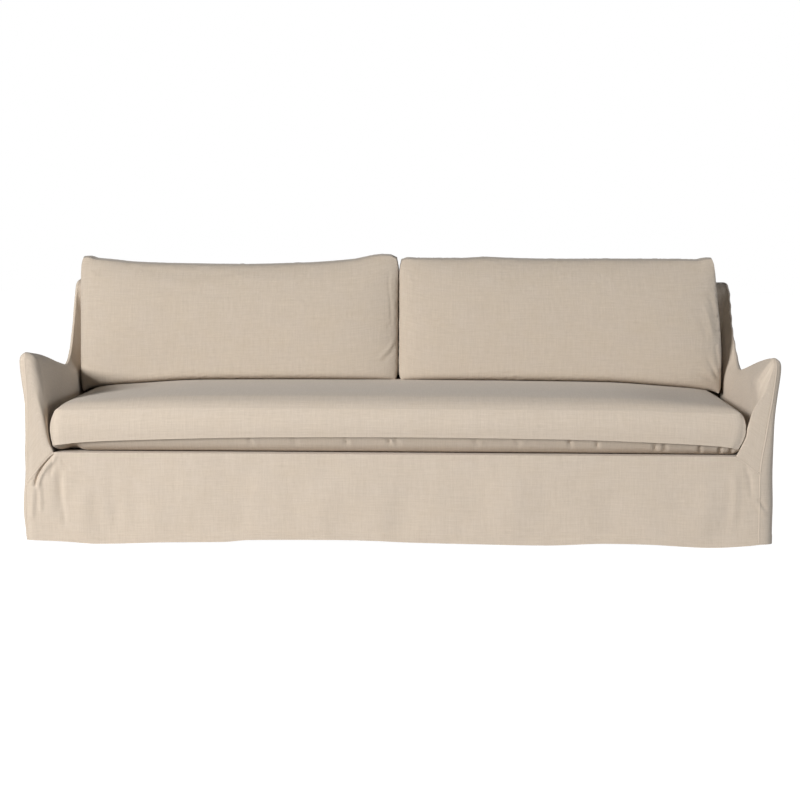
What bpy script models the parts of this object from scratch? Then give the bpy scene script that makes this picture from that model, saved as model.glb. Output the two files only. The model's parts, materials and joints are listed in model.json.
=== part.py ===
"""Fitted linen slipcover for a three-seat sofa with flared, swooping arms.

The cover is one hollow shell of sewn panels, open at the floor, with a bench seat cushion and two
back cushions. The sofa inside it is not modelled. Metres; +X to the right seen from the front,
-Y to the front, +Z up, origin on the floor under the middle of the cover.

Every panel is drawn on one shared shell, so that neighbours meet in mitred seams, and then gets the
thickness of its cloth inwards.
"""
import math

import bmesh
import bpy
from mathutils import Vector

# ---- Driving sizes --------------------------------------------------------------------------------
CLOTH = 0.002              # thickness of every panel, its seam allowance included
SEAM_PULL = 0.0002         # each panel stops this far short of the seam line
REST_GAP = 0.0004          # between things that rest on each other

FRONT = -0.487             # plane of the skirt and of the arms' fronts
BACK_TOP = 0.475           # rear edge of the back's top band
BACK_HEM = 0.489           # the outside back hangs out to here at the floor
HEM_FLARE = 0.004          # the front skirt stands this much further out at the floor,
HEM_CURVE = 1.5            # most of it low down
DECK = 0.284               # height of the deck under the seat cushion
DECK_REAR = 0.270          # where the deck meets the inside back
CORNER_TIP = 0.022         # radius round the arm's front tip

RIGHT, LEFT = 1, -1

# The arm's inner edge is a soft roll, small beside the seat cushion and wide above it: height, how far
# it reaches across the arm and how deep it is. Behind the valley the inner face slants to the rim.
ROLL = {RIGHT: ((0.284, 0.000, 0.022), (0.330, 0.012, 0.026), (0.385, 0.017, 0.032), (0.440, 0.034, 0.045),
                (0.489, 0.048, 0.060), (0.590, 0.055, 0.070)),
        LEFT: ((0.284, 0.000, 0.022), (0.330, 0.016, 0.028), (0.405, 0.024, 0.038), (0.436, 0.034, 0.045),
               (0.489, 0.040, 0.050), (0.590, 0.042, 0.055))}
ROLL_DEEP_REAR, ROLL_REAR_ENDS, ROLL_FOOT = 0.045, (0.02, 0.22), 0.06
ROLL_SHARE = (0.85, 0.92)  # the roll takes at most this share of the arm's thickness, front and rear
ROLL_SLANT = 1.2           # how hollow the slanting part is
# Radius of the upright front corners, by height.
CORNER = {RIGHT: ((0.000, 0.042), (0.228, 0.042), (0.284, 0.036), (0.330, 0.029), (0.385, 0.023),
                  (0.440, CORNER_TIP)),
          LEFT: ((0.000, 0.018), (0.500, CORNER_TIP))}

# Front view of each arm: height, then distances from the middle of the outer face, of the seam
# between outside arm and front (measured along the cloth) and of the arm's inner edge.
ARM_FRONT = {
    RIGHT: ((0.000, 1.1600, 1.1090, 1.035),
            (0.119, 1.1610, 1.1090, 1.035),
            (0.228, 1.1585, 1.1090, 1.035),
            (0.284, 1.1580, 1.1165, 1.035),
            (0.304, 1.1575, 1.1200, 1.052),
            (0.330, 1.1570, 1.1250, 1.062),
            (0.385, 1.1570, 1.1335, 1.072),
            (0.440, 1.1605, 1.1420, 1.077),
            (0.489, 1.1660, 1.1480, 1.080),
            (0.5635, 1.1735, 1.1545, 1.099),
            (0.590, 1.1740, 1.1550, 1.103)),
    LEFT: ((0.000, 1.1610, 1.1590, 1.076),
           (0.107, 1.1720, 1.1690, 1.076),
           (0.228, 1.1665, 1.1610, 1.076),
           (0.284, 1.1685, 1.1600, 1.076),
           (0.330, 1.1655, 1.1570, 1.0840),
           (0.405, 1.1665, 1.1545, 1.0905),
           (0.436, 1.1670, 1.1535, 1.0930),
           (0.489, 1.1745, 1.1550, 1.1000),
           (0.5635, 1.1818, 1.1598, 1.1180),
           (0.590, 1.1824, 1.1604, 1.1200)),
}
SEAM_SPLIT = {RIGHT: 0.228, LEFT: 0.178}   # height where the slanting front seam meets the outer seam

# Behind the front, by height: distance from the middle of the outer and of the inner arm face.
ARM_REAR = ((0.000, 1.160, 1.072),
            (0.284, 1.158, 1.078),
            (0.320, 1.158, 1.093),
            (0.370, 1.158, 1.099),
            (0.470, 1.158, 1.108),
            (0.560, 1.155, 1.116),
            (0.800, 1.154, 1.116))
FLARE_ENDS = (-0.30, 0.13)                 # depths over which the outer face's flare dies out
INNER_BLEND = 0.10                         # the inner face loses its front shape this far back,
TIP_BLEND = 0.40                           # but under the arm's tip only over this length
TIP_HEIGHTS = (0.47, 0.54)                 # between these heights the one gives way to the other

# Side view of the rim, from the arm's tip over the crest and the valley up to the back's rear edge:
# depth, height, cells to the next row, radius of the roll, and the foot of its section line.
RIM = ((FRONT + CORNER_TIP, 0.5885, 2, 0.022, -0.360, DECK),
       (-0.250, 0.5665, 2, 0.021, -0.200, DECK),
       (-0.020, 0.5290, 2, 0.018, 0.000, DECK),
       (0.120, 0.5160, 2, 0.015, 0.150, DECK),
       (0.205, 0.5390, 1, 0.011, DECK_REAR, DECK),
       (0.262, 0.5870, 1, 0.007, 0.295, 0.400),
       (0.318, 0.6670, 1, 0.005, 0.325, 0.540),
       (0.358, 0.7460, 1, 0.005, 0.352, 0.665),
       (0.376, 0.7770, 1, 0.007, 0.376, 0.777),
       (0.396, 0.7960, 1, 0.010, 0.396, 0.796),
       (0.428, 0.8030, 1, 0.012, 0.428, 0.803),
       (BACK_TOP, 0.8030, 0, 0.012, BACK_TOP, 0.803))
BACK_EDGE_ROW = 8                          # the row where the inside back's face reaches the rim

# Height of the front hem above the floor, by place across the front.
FRONT_HEM = ((-1.140, 0.0100), (-1.043, 0.0065), (-0.938, 0.0000), (-0.740, 0.0057),
             (-0.550, 0.0083), (-0.466, 0.0150), (-0.210, 0.0168), (-0.078, 0.0150),
             (0.010, 0.0110), (0.200, 0.0070), (0.450, 0.0040), (0.634, 0.0106),
             (0.764, 0.0090), (0.960, 0.0000), (1.068, 0.0060), (1.118, 0.0110))
SIDE_HEM_WAVE = 0.006
BACK_HEM_WAVE = 0.004
HEM_REACH = 0.25                           # the hem's waves die out this far up

# Main folds of the front: x and z of one end, x and z of the other, half width, height (+ is out).
FOLDS = ((-1.076, 0.276, -1.132, 0.198, 0.009, -0.0060),
         (-1.068, 0.270, -1.118, 0.190, 0.008, 0.0050),
         (-1.132, 0.198, -1.145, 0.060, 0.010, 0.0035),
         (-1.062, 0.262, -1.012, 0.200, 0.012, -0.0035),
         (-1.058, 0.240, -1.060, 0.080, 0.014, -0.0035),
         (-0.985, 0.180, -0.975, 0.010, 0.030, 0.0040),
         (-0.780, 0.230, -0.740, 0.010, 0.050, 0.0035),
         (-0.500, 0.240, -0.480, 0.010, 0.045, -0.0030),
         (-0.240, 0.200, -0.260, 0.010, 0.060, 0.0035),
         (0.030, 0.180, 0.010, 0.010, 0.045, -0.0030),
         (0.330, 0.240, 0.350, 0.010, 0.070, 0.0030),
         (0.640, 0.180, 0.660, 0.010, 0.050, -0.0035),
         (0.950, 0.200, 0.930, 0.010, 0.050, 0.0045),
         (1.125, 0.150, 1.150, 0.080, 0.014, -0.0040))

# ---- Divisions ------------------------------------------------------------------------------------
LOW_ROWS = 5               # hem to the slanting seam
FRONT_ROWS = 4             # slanting seam to the arm's tip
ROLL_CELLS = 2             # over the rim
WRAP_CELLS = 2             # round the upright front corner
BAND_CELLS = 2             # section line: across the arm's thickness
FACE_CELLS = 6             # section line: over the inner edge and down the inner face
SECTION_CELLS = BAND_CELLS + FACE_CELLS
SIDE_CELLS = sum(row[2] for row in RIM)
ARM_ROWS = LOW_ROWS + FRONT_ROWS + ROLL_CELLS
BACK_CELLS = 8             # across the inside and outside back
SKIRT_STATIONS = ((0.00, 0.0), (0.16, 0.035), (0.5, 0.42), (0.88, 0.93), (1.0, 1.0))
SKIRT_CELLS = 26           # across the skirt between the arms, closer together at its left end
# Powers that space the cells: feet of the section lines, cells of a line that stays on the rim, cells
# of the inner face, columns of the outside arm towards its top, columns of the skirt towards its top.
FOOT_SPACING, FLAT_SPACING, FACE_SPACING, SIDE_SPACING, SKIRT_SPACING = 1.3, 0.6, 1.6, 0.9, 0.8
FULL_DROP = 0.10           # section lines that fall less than this are spaced as flat ones

# ---- Colours --------------------------------------------------------------------------------------
LINEN = (0.62, 0.53, 0.42, 1.0)
LINEN_CUSHION = (0.60, 0.51, 0.40, 1.0)


# ---- Small helpers --------------------------------------------------------------------------------
def clamp01(t):
    return max(0.0, min(1.0, t))


def ease(t):
    t = clamp01(t)
    return t * t * (3.0 - 2.0 * t)


def mix(a, b, t):
    return a + (b - a) * t


def look_up(rows, at, column=1):
    """Smooth value of a table's column, with the first column as the place; it never overshoots."""
    places = [row[0] for row in rows]
    values = [row[column] for row in rows]
    if at <= places[0]:
        return values[0]
    if at >= places[-1]:
        return values[-1]
    steps = [(values[k + 1] - values[k]) / (places[k + 1] - places[k]) for k in range(len(rows) - 1)]
    k = max(index for index, place in enumerate(places[:-1]) if place <= at)

    def slope(index):
        if index == 0:
            return steps[0]
        if index == len(rows) - 1:
            return steps[-1]
        before, after = steps[index - 1], steps[index]
        return 0.0 if before * after <= 0.0 else 2.0 * before * after / (before + after)

    width = places[k + 1] - places[k]
    t = (at - places[k]) / width
    return ((1 + 2 * t) * (1 - t) ** 2 * values[k] + t * (1 - t) ** 2 * width * slope(k)
            + t * t * (3 - 2 * t) * values[k + 1] + t * t * (t - 1) * width * slope(k + 1))


def through(points, index, t):
    """Point on a smooth curve through 2D points, a share t of the way from points[index] on."""
    p1, p2 = points[index], points[index + 1]
    p0 = points[index - 1] if index else 2 * p1 - p2
    p3 = points[index + 2] if index + 2 < len(points) else 2 * p2 - p1
    chord = (p2 - p1).length
    m1 = (p2 - p0) * (chord / max(chord + (p1 - p0).length, 1e-9))
    m2 = (p3 - p1) * (chord / max(chord + (p3 - p2).length, 1e-9))
    return ((1 + 2 * t) * (1 - t) ** 2 * p1 + t * (1 - t) ** 2 * m1
            + t * t * (3 - 2 * t) * p2 + t * t * (t - 1) * m2)


# ---- The shell's surfaces -------------------------------------------------------------------------
def outer_x(side, y, z):
    front = look_up(ARM_FRONT[side], z, 1)
    rear = look_up(ARM_REAR, z, 1)
    return mix(front, rear, ease((y - FLARE_ENDS[0]) / (FLARE_ENDS[1] - FLARE_ENDS[0])))


def inner_x(side, y, z):
    front = look_up(ARM_FRONT[side], z, 3)
    rear = look_up(ARM_REAR, z, 2)
    at_tip = ease((z - TIP_HEIGHTS[0]) / (TIP_HEIGHTS[1] - TIP_HEIGHTS[0]))
    return mix(front, rear, ease((y - FRONT) / mix(INNER_BLEND, TIP_BLEND, at_tip)))


def corner_radius(side, z):
    return look_up(CORNER[side], z)


def front_y(z):
    return FRONT - HEM_FLARE * (1.0 - clamp01(z / DECK)) ** HEM_CURVE


def front_point(side, along, z):
    """Point on the front, `along` the cloth from the middle, round the upright corner as needed."""
    radius = corner_radius(side, z)
    flat = outer_x(side, FRONT, z) - radius
    turn = max(0.0, (along - flat) / radius)
    x = min(along, flat) + radius * math.sin(turn)
    return Vector((side * x, front_y(z) + radius * (1.0 - math.cos(turn)), z))


def side_along(side, z):
    """Distance along the cloth from the middle to where the upright corner ends on the side."""
    radius = corner_radius(side, z)
    return outer_x(side, FRONT, z) - radius + radius * math.pi / 2


def rim_stations():
    """The rim's stations behind the tip: place, outward normal, roll radius and section foot."""
    places = [Vector((row[0], row[1])) for row in RIM]
    feet = [Vector((row[4], row[5])) for row in RIM]
    stations = []
    for k, row in enumerate(RIM[:-1]):
        for cell in range(row[2]):
            t = cell / row[2]
            roll, foot = mix(row[3], RIM[k + 1][3], t), feet[k].lerp(feet[k + 1], t)
            stations.append([through(places, k, t), roll, foot])
    stations.append([places[-1], RIM[-1][3], feet[-1]])
    for k, station in enumerate(stations):
        ahead = stations[min(k + 1, len(stations) - 1)][0]
        behind = stations[max(k - 1, 0)][0]
        run = (ahead - behind).normalized()
        station.insert(1, Vector((-run.y, run.x)))
    stations[0][1] = Vector((0.0, 1.0))
    stations[-1][1] = Vector((0.0, 1.0))
    return stations


STATIONS = rim_stations()
TIP_Z = RIM[0][1]


def front_heights(side):
    """Heights of the arm rows at the front, from the hem to where the tip's rounding begins."""
    split = SEAM_SPLIT[side]
    low = [split * k / LOW_ROWS for k in range(LOW_ROWS + 1)]
    high = [mix(split, TIP_Z - CORNER_TIP, k / FRONT_ROWS) for k in range(1, FRONT_ROWS + 1)]
    return low + high


def round_corner(across, up):
    """A square's corner cell folded to a quarter disc: its radius share and its direction."""
    a = across * math.sqrt(1.0 - up * up / 2.0)
    b = up * math.sqrt(1.0 - across * across / 2.0)
    share = math.hypot(a, b)
    return share, a / share, b / share


def outside_arm_point(side, column, row):
    """Outside arm panel: columns from the front seam to the rear corner, rows from hem to rim seam."""
    heights = front_heights(side)
    last_flat = len(heights) - 1
    roll_row = max(0, row - last_flat)
    if column < WRAP_CELLS:
        across = 1.0 - column / WRAP_CELLS
        if roll_row == 0:
            z = heights[row]
            seam = look_up(ARM_FRONT[side], z, 2)
            return front_point(side, mix(side_along(side, z), seam, across), z)
        share, a, b = round_corner(across, roll_row / ROLL_CELLS)
        angle = share * math.pi / 2
        y = FRONT + CORNER_TIP - CORNER_TIP * math.sin(angle) * a
        z = TIP_Z - CORNER_TIP + CORNER_TIP * math.sin(angle) * b
        x = outer_x(side, FRONT, z) - CORNER_TIP * (1.0 - math.cos(angle))
        return Vector((side * x, y, z))
    place, normal, roll, _ = STATIONS[column - WRAP_CELLS]
    head = place - normal * roll
    if roll_row == 0:
        share = heights[row] / heights[-1]
        foot_y = mix(FRONT + corner_radius(side, 0.0), BACK_HEM, (column - WRAP_CELLS) / SIDE_CELLS)
        first = column == WRAP_CELLS
        y = FRONT if first else mix(foot_y, head.x, share ** SIDE_SPACING)
        z = heights[row] if first else head.y * share
        if first:
            y = front_y(z) + corner_radius(side, z)
        return Vector((side * outer_x(side, y, z), y, z))
    angle = roll_row / ROLL_CELLS * math.pi / 2
    spot = head + normal * roll * math.sin(angle)
    x = outer_x(side, head.x, head.y) - roll * (1.0 - math.cos(angle))
    return Vector((side * x, spot.x, spot.y))


def section_starts(side):
    """Where each section line of the inside arm begins: grid place on the outside arm's seam, the
    line's inner end on the rim, the outward normal there, and the line's foot."""
    heights = front_heights(side)
    starts = []
    split, top = SEAM_SPLIT[side], heights[-1]
    front_foot = Vector((FRONT, DECK))
    tip_foot = Vector((RIM[0][4], RIM[0][5]))
    lines_to_tip = FRONT_ROWS + ROLL_CELLS + WRAP_CELLS
    for k in range(FRONT_ROWS + 1):
        z = mix(DECK, top, (heights[LOW_ROWS + k] - split) / (top - split))
        foot = front_foot.lerp(tip_foot, (k / lines_to_tip) ** FOOT_SPACING)
        starts.append(((0, LOW_ROWS + k), Vector((FRONT, z)), Vector((-1.0, 0.0)), foot))
    around = [(0, LOW_ROWS + FRONT_ROWS + k) for k in range(1, ROLL_CELLS + 1)]
    around += [(k, ARM_ROWS) for k in range(1, WRAP_CELLS)]
    for k, cell in enumerate(around):
        at = outside_arm_point(side, *cell)
        rim = Vector((at.y, at.z))
        centre = Vector((FRONT + CORNER_TIP, TIP_Z - CORNER_TIP))
        foot = front_foot.lerp(tip_foot, ((FRONT_ROWS + 1 + k) / lines_to_tip) ** FOOT_SPACING)
        starts.append((cell, rim, (rim - centre).normalized(), foot))
    for k, (place, normal, _, foot) in enumerate(STATIONS):
        starts.append(((WRAP_CELLS + k, ARM_ROWS), place, normal, foot))
    return starts


def profile_distance(spot):
    """How far a place in the side view lies inside the arm's front and rim."""
    return min((spot - start - run * max(0.0, min(1.0, (spot - start).dot(run) / run.length_squared))).length
               for start, run in profile)


tip_centre = Vector((FRONT + CORNER_TIP, TIP_Z - CORNER_TIP))
turns = [math.radians(angle) for angle in (0, 30, 60)]
outline = [Vector((FRONT, DECK))]
outline += [tip_centre + CORNER_TIP * Vector((-math.cos(turn), math.sin(turn))) for turn in turns]
outline += [station[0] for station in STATIONS]
profile = [(start, end - start) for start, end in zip(outline, outline[1:])]


def section_line(side, start):
    """The points of one section line, from the seam across the arm and down its inner face."""
    cell, rim, normal, foot = start
    seam = outside_arm_point(side, *cell)
    on_front = cell[0] == 0 and cell[1] <= LOW_ROWS + FRONT_ROWS
    slanting = ease((rim.x - ROLL_REAR_ENDS[0]) / (ROLL_REAR_ENDS[1] - ROLL_REAR_ENDS[0]))
    across = look_up(ROLL[side], rim.y, 1)
    deep = mix(look_up(ROLL[side], rim.y, 2), ROLL_DEEP_REAR, slanting)
    seam_along = look_up(ARM_FRONT[side], seam.z, 2) if on_front else abs(seam.x)
    edge_x = inner_x(side, rim.x, rim.y)
    drop = (rim - foot).length
    deep = max(min(deep, ROLL_SHARE[1] * drop), 1e-6)
    across = min(mix(across, deep, slanting), deep,
                 mix(*ROLL_SHARE, slanting) * (seam_along - edge_x))
    band = math.hypot(seam_along - edge_x - across, (seam.z - rim.y) if on_front else 0.0)
    total = band + across + drop
    evenness = ease(drop / FULL_DROP)
    points = []
    for k in range(SECTION_CELLS + 1):
        if k <= BAND_CELLS:
            fitted = band * k / BAND_CELLS
        else:
            fitted = band + (total - band) * ((k - BAND_CELLS) / FACE_CELLS) ** FACE_SPACING
        run = mix(total * (k / SECTION_CELLS) ** FLAT_SPACING, fitted, evenness)
        if run <= band + 1e-9:
            along = mix(seam_along, edge_x + across, run / band)
            if on_front:
                points.append(front_point(side, along, mix(seam.z, rim.y, run / band)))
            else:
                points.append(Vector((side * along, rim.x, rim.y)))
        else:
            spot = rim.lerp(foot, (run - band) / (total - band))
            inside = min(1.0, profile_distance(spot) / deep)
            round_edge = 1.0 - math.sqrt(1.0 - (1.0 - inside) ** 2)
            rolled = across * mix(round_edge, (1.0 - inside) ** ROLL_SLANT, slanting)
            rolled *= ease((spot.y - DECK) / ROLL_FOOT)
            points.append(Vector((side * (inner_x(side, spot.x, spot.y) + rolled), spot.x, spot.y)))
    return points


def coons(left, right, bottom, top, column, row):
    """Point of a patch between four border lines, given as lists of points."""
    u, v = column / (len(bottom) - 1), row / (len(left) - 1)
    ruled = bottom[column].lerp(top[column], v) + left[row].lerp(right[row], u)
    corners = bottom[0].lerp(bottom[-1], u).lerp(top[0].lerp(top[-1], u), v)
    return ruled - corners


# ---- Sewing the shell -----------------------------------------------------------------------------
PANELS = ("front_skirt", "outside_arm_right", "outside_arm_left", "inside_arm_right",
          "inside_arm_left", "inside_back", "outside_back")


def add_panel(shell, name, columns, rows, place):
    """Adds one panel to the shell as a grid whose points place(column, row) gives."""
    label = shell.faces.layers.int["panel"]
    made = bmesh.ops.create_grid(shell, x_segments=columns, y_segments=rows, size=0.5)["verts"]
    for vert in made:
        vert.co = place(round((vert.co.x + 0.5) * columns), round((vert.co.y + 0.5) * rows))
    for face in {face for vert in made for face in vert.link_faces}:
        face[label] = PANELS.index(name) + 1


def sew_shell():
    """All the panels as one surface, merged along their seams."""
    shell = bmesh.new()
    shell.faces.layers.int.new("panel")
    sections = {side: [section_line(side, start) for start in section_starts(side)]
                for side in (RIGHT, LEFT)}
    for side, word in ((RIGHT, "right"), (LEFT, "left")):
        add_panel(shell, f"outside_arm_{word}", WRAP_CELLS + SIDE_CELLS, ARM_ROWS,
                  lambda column, row: outside_arm_point(side, column, row))
        lines = sections[side]
        add_panel(shell, f"inside_arm_{word}", len(lines) - 1, SECTION_CELLS,
                  lambda column, row: lines[column][row])

    # The skirt: its top follows the slanting seams and the deck's front edge, its sides the arm seams.
    left_seam = [outside_arm_point(LEFT, 0, row) for row in range(LOW_ROWS + 1)]
    right_seam = [outside_arm_point(RIGHT, 0, row) for row in range(LOW_ROWS + 1)]
    deck_left, deck_right = sections[LEFT][0][-1], sections[RIGHT][0][-1]
    deck_edge = [deck_left.lerp(deck_right, look_up(SKIRT_STATIONS, k / SKIRT_CELLS))
                 for k in range(1, SKIRT_CELLS)]
    top = sections[LEFT][0] + deck_edge + sections[RIGHT][0][::-1]
    bottom = [mix_on_front(point, left_seam, right_seam, top) for point in top]

    def skirt_point(column, row):
        if column in (0, len(top) - 1):
            return (left_seam if column == 0 else right_seam)[row]
        if row == LOW_ROWS:
            return top[column]
        foot, head = bottom[column], top[column]
        z = head.z * row / LOW_ROWS
        along = mix(foot, cloth_along(head), (row / LOW_ROWS) ** SKIRT_SPACING)
        return front_point(RIGHT if along >= 0 else LEFT, abs(along), z)

    add_panel(shell, "front_skirt", len(top) - 1, LOW_ROWS, skirt_point)

    # The inside back: up its raked face and over the top band, in line with the rim's rows.
    first = next(k for k, start in enumerate(section_starts(RIGHT))
                 if start[3].x >= DECK_REAR - 1e-6)
    left_line = [line[-1] for line in sections[LEFT][first:]]
    right_line = [line[-1] for line in sections[RIGHT][first:]]
    add_panel(shell, "inside_back", BACK_CELLS, len(left_line) - 1,
              lambda column, row: left_line[row].lerp(right_line[row], column / BACK_CELLS))

    # The outside back: hangs from the top seam between the outside arms.
    left_edge = [outside_arm_point(LEFT, WRAP_CELLS + SIDE_CELLS, row) for row in range(ARM_ROWS + 1)]
    right_edge = [outside_arm_point(RIGHT, WRAP_CELLS + SIDE_CELLS, row) for row in range(ARM_ROWS + 1)]
    between = [left_line[-1].lerp(right_line[-1], k / BACK_CELLS) for k in range(1, BACK_CELLS)]
    back_top = sections[LEFT][-1] + between + sections[RIGHT][-1][::-1]
    width = back_top[-1].x - back_top[0].x
    back_hem = [left_edge[0].lerp(right_edge[0], (point.x - back_top[0].x) / width) for point in back_top]
    add_panel(shell, "outside_back", len(back_top) - 1, ARM_ROWS,
              lambda column, row: coons(left_edge, right_edge, back_hem, back_top, column, row))

    bmesh.ops.remove_doubles(shell, verts=shell.verts, dist=0.00002)
    bmesh.ops.recalc_face_normals(shell, faces=shell.faces)
    shell.verts.index_update()
    return shell


def cloth_along(point):
    """Signed distance along the cloth from the middle of the front to a point of it."""
    side = RIGHT if point.x >= 0 else LEFT
    radius = corner_radius(RIGHT if point.x >= 0 else LEFT, point.z)
    flat = outer_x(side, FRONT, point.z) - radius
    over = abs(point.x) - flat
    return side * (flat + radius * math.asin(clamp01(over / radius)) if over > 0 else abs(point.x))


def mix_on_front(point, left_seam, right_seam, top):
    """Where the upright line under a point of the skirt's top meets the hem, along the cloth."""
    ends = cloth_along(left_seam[0]), cloth_along(right_seam[0])
    head_ends = cloth_along(top[0]), cloth_along(top[-1])
    share = (cloth_along(point) - head_ends[0]) / (head_ends[1] - head_ends[0])
    return mix(ends[0], ends[1], share)


def hem_lift(point):
    """How far the hem is off the floor at this place round the cover."""
    if point.y < FRONT + 0.03:
        return look_up(FRONT_HEM, point.x)
    end = FRONT_HEM[-1][1] if point.x > 0 else FRONT_HEM[0][1]
    depth = clamp01((point.y - FRONT) / (BACK_HEM - FRONT))
    if point.y > BACK_HEM - 0.02 and abs(point.x) < 1.1:
        return BACK_HEM_WAVE * math.sin(point.x * 5.2 + 0.6) ** 2
    return mix(end, 0.0, ease(depth)) + SIDE_HEM_WAVE * math.sin(depth * math.pi * 2) ** 2


def fold_out(point):
    """How far the main folds push the front out at this place."""
    total = 0.0
    here = Vector((point.x, point.z))
    for x0, z0, x1, z1, half_width, height in FOLDS:
        start, run = Vector((x0, z0)), Vector((x1 - x0, z1 - z0))
        t = clamp01((here - start).dot(run) / run.length_squared)
        away = (here - start - run * t).length / half_width
        total += height * math.exp(-away * away)
    return total


def drape(shell):
    """Lets the hem rise and fall, and pushes the main folds out."""
    shell.normal_update()
    moves = {}
    for vert in shell.verts:
        outside = abs(vert.co.x) > 1.14 or vert.co.y < FRONT + 0.03 or vert.co.y > BACK_TOP - 0.01
        if vert.co.z > HEM_REACH + 0.05 or not outside:
            continue
        lift = hem_lift(vert.co) * (1.0 - clamp01(vert.co.z / HEM_REACH)) if vert.co.z < HEM_REACH else 0.0
        move = Vector((0.0, 0.0, lift))
        if vert.co.y < FRONT + 0.03 and vert.co.z < DECK - 0.004:
            move += vert.normal * fold_out(vert.co)
        moves[vert] = move
    for vert, move in moves.items():
        vert.co += move
    shell.normal_update()


def cut_panel(shell, name):
    """One panel taken off the shell: pulled back from its seams, then thickened inwards."""
    piece = shell.copy()
    piece.faces.ensure_lookup_table()
    piece.normal_update()
    label = piece.faces.layers.int["panel"]
    inwards = piece.verts.layers.float_vector.new("inwards")
    order = piece.verts.layers.int.new("order")
    for vert in piece.verts:
        vert[inwards] = -vert.normal * CLOTH * vert.calc_shell_factor()
        vert[order] = vert.index
    number = PANELS.index(name) + 1
    seams = {edge for edge in piece.edges if len({face[label] for face in edge.link_faces}) > 1}
    pulls = {}
    for vert in piece.verts:
        hems, sewn = [], []
        for edge in vert.link_edges:
            own = [face for face in edge.link_faces if face[label] == number]
            if len(own) != 1:
                continue
            run = (edge.other_vert(vert).co - vert.co).normalized()
            towards = own[0].calc_center_median() - vert.co
            inward = (towards - run * towards.dot(run)).normalized()
            (sewn if edge in seams else hems).append(inward)
        if len(sewn) >= 2:
            pulls[vert] = (sewn[0] + sewn[1]) * (SEAM_PULL / max(0.3, 1.0 + sewn[0].dot(sewn[1])))
        elif sewn and hems:
            level = sewn[0] - hems[0] * sewn[0].dot(hems[0])
            pulls[vert] = level * (SEAM_PULL / max(0.3, level.length_squared))
    bmesh.ops.delete(piece, geom=[face for face in piece.faces if face[label] != number], context="FACES")
    for vert, pull in pulls.items():
        if vert.is_valid:
            vert.co += pull
    kept = piece.faces[:] + piece.edges[:] + piece.verts[:]
    grown = bmesh.ops.extrude_face_region(piece, geom=kept, use_keep_orig=True)["geom"]
    inner = {item for item in grown if isinstance(item, bmesh.types.BMVert)}
    for vert in inner:
        vert.co += vert[inwards]
    # Both panels of a seam split the faces of its mitre along the same diagonal.
    for face in [face for face in piece.faces if len(inner.intersection(face.verts)) == 2]:
        first = min((vert for vert in face.verts if vert not in inner), key=lambda vert: vert[order])
        last = max((vert for vert in face.verts if vert in inner), key=lambda vert: vert[order])
        bmesh.utils.face_split(face, first, last)
    bmesh.ops.recalc_face_normals(piece, faces=piece.faces)
    return piece


# ---- Objects --------------------------------------------------------------------------------------
def linen(name, colour):
    material = bpy.data.materials.new(name)
    material.use_nodes = True
    shader = material.node_tree.nodes["Principled BSDF"]
    shader.inputs["Base Color"].default_value = colour
    shader.inputs["Roughness"].default_value = 0.9
    shader.inputs["Metallic"].default_value = 0.0
    return material


def add_object(name, mesh_data, material):
    mesh = bpy.data.meshes.new(name)
    mesh_data.to_mesh(mesh)
    mesh_data.free()
    mesh.materials.append(material)
    mesh.shade_smooth()
    mesh.set_sharp_from_angle(angle=math.radians(40))
    made = bpy.data.objects.new(name, mesh)
    bpy.context.scene.collection.objects.link(made)
    return made


def deck_panel():
    """The flat deck: its sides follow the feet of the inside arms, its front the skirt's top."""
    outline = []
    for side in (RIGHT, LEFT):
        feet = [section_line(side, start)[-1] for start in section_starts(side)
                if start[3].y <= DECK + 1e-6 and start[3].x <= DECK_REAR + 1e-6]
        front_clear = FRONT + CLOTH + REST_GAP
        rows = []
        for foot in feet:
            y = min(max(foot.y, front_clear), DECK_REAR - REST_GAP)
            x = abs(foot.x) - REST_GAP
            if foot.y < front_clear:
                x -= CLOTH
            rows.append(Vector((side * x, y, DECK)))
        outline += rows if side == RIGHT else rows[::-1]
    deck = bmesh.new()
    face = deck.faces.new([deck.verts.new(point) for point in outline])
    face.normal_update()
    if face.normal.z < 0:
        face.normal_flip()
    grown = bmesh.ops.extrude_face_region(deck, geom=[face], use_keep_orig=True)["geom"]
    for vert in [item for item in grown if isinstance(item, bmesh.types.BMVert)]:
        vert.co.z -= CLOTH
    bmesh.ops.recalc_face_normals(deck, faces=deck.faces)
    bmesh.ops.triangulate(deck, faces=deck.faces)
    return deck


# ---- Cushions -------------------------------------------------------------------------------------
def cushion_block(cells, place):
    """A closed block of cells, each point moved to where place(a, b, c), from -1 to 1, puts it."""
    block = bmesh.new()
    bmesh.ops.create_cube(block, size=2.0)
    for axis, count in enumerate(cells):
        for k in range(1, count):
            level = Vector((0.0, 0.0, 0.0))
            level[axis] = -1.0 + 2.0 * k / count
            normal = Vector((0.0, 0.0, 0.0))
            normal[axis] = 1.0
            bmesh.ops.bisect_plane(block, geom=block.verts[:] + block.edges[:] + block.faces[:],
                                   plane_co=level, plane_no=normal)
    for vert in block.verts:
        vert.co = place(*vert.co)
    bmesh.ops.recalc_face_normals(block, faces=block.faces)
    return block


# The bench cushion's front ends, how much further out its rear ends lie, and its depths and heights.
SEAT = {"left": -1.0825, "right": 1.0610, "widen_left": 0.006, "widen_right": 0.022,
        "front": -0.492, "rear": 0.262, "low_seam": 0.3275, "high_seam": 0.425, "top": 0.470}
SEAT_CORNER = 0.038        # radius of its upright corners
SIDE_SWELL = 0.006         # the boxing of every cushion bulges by this
SEAT_CELLS = (26, 10, 4)
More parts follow.
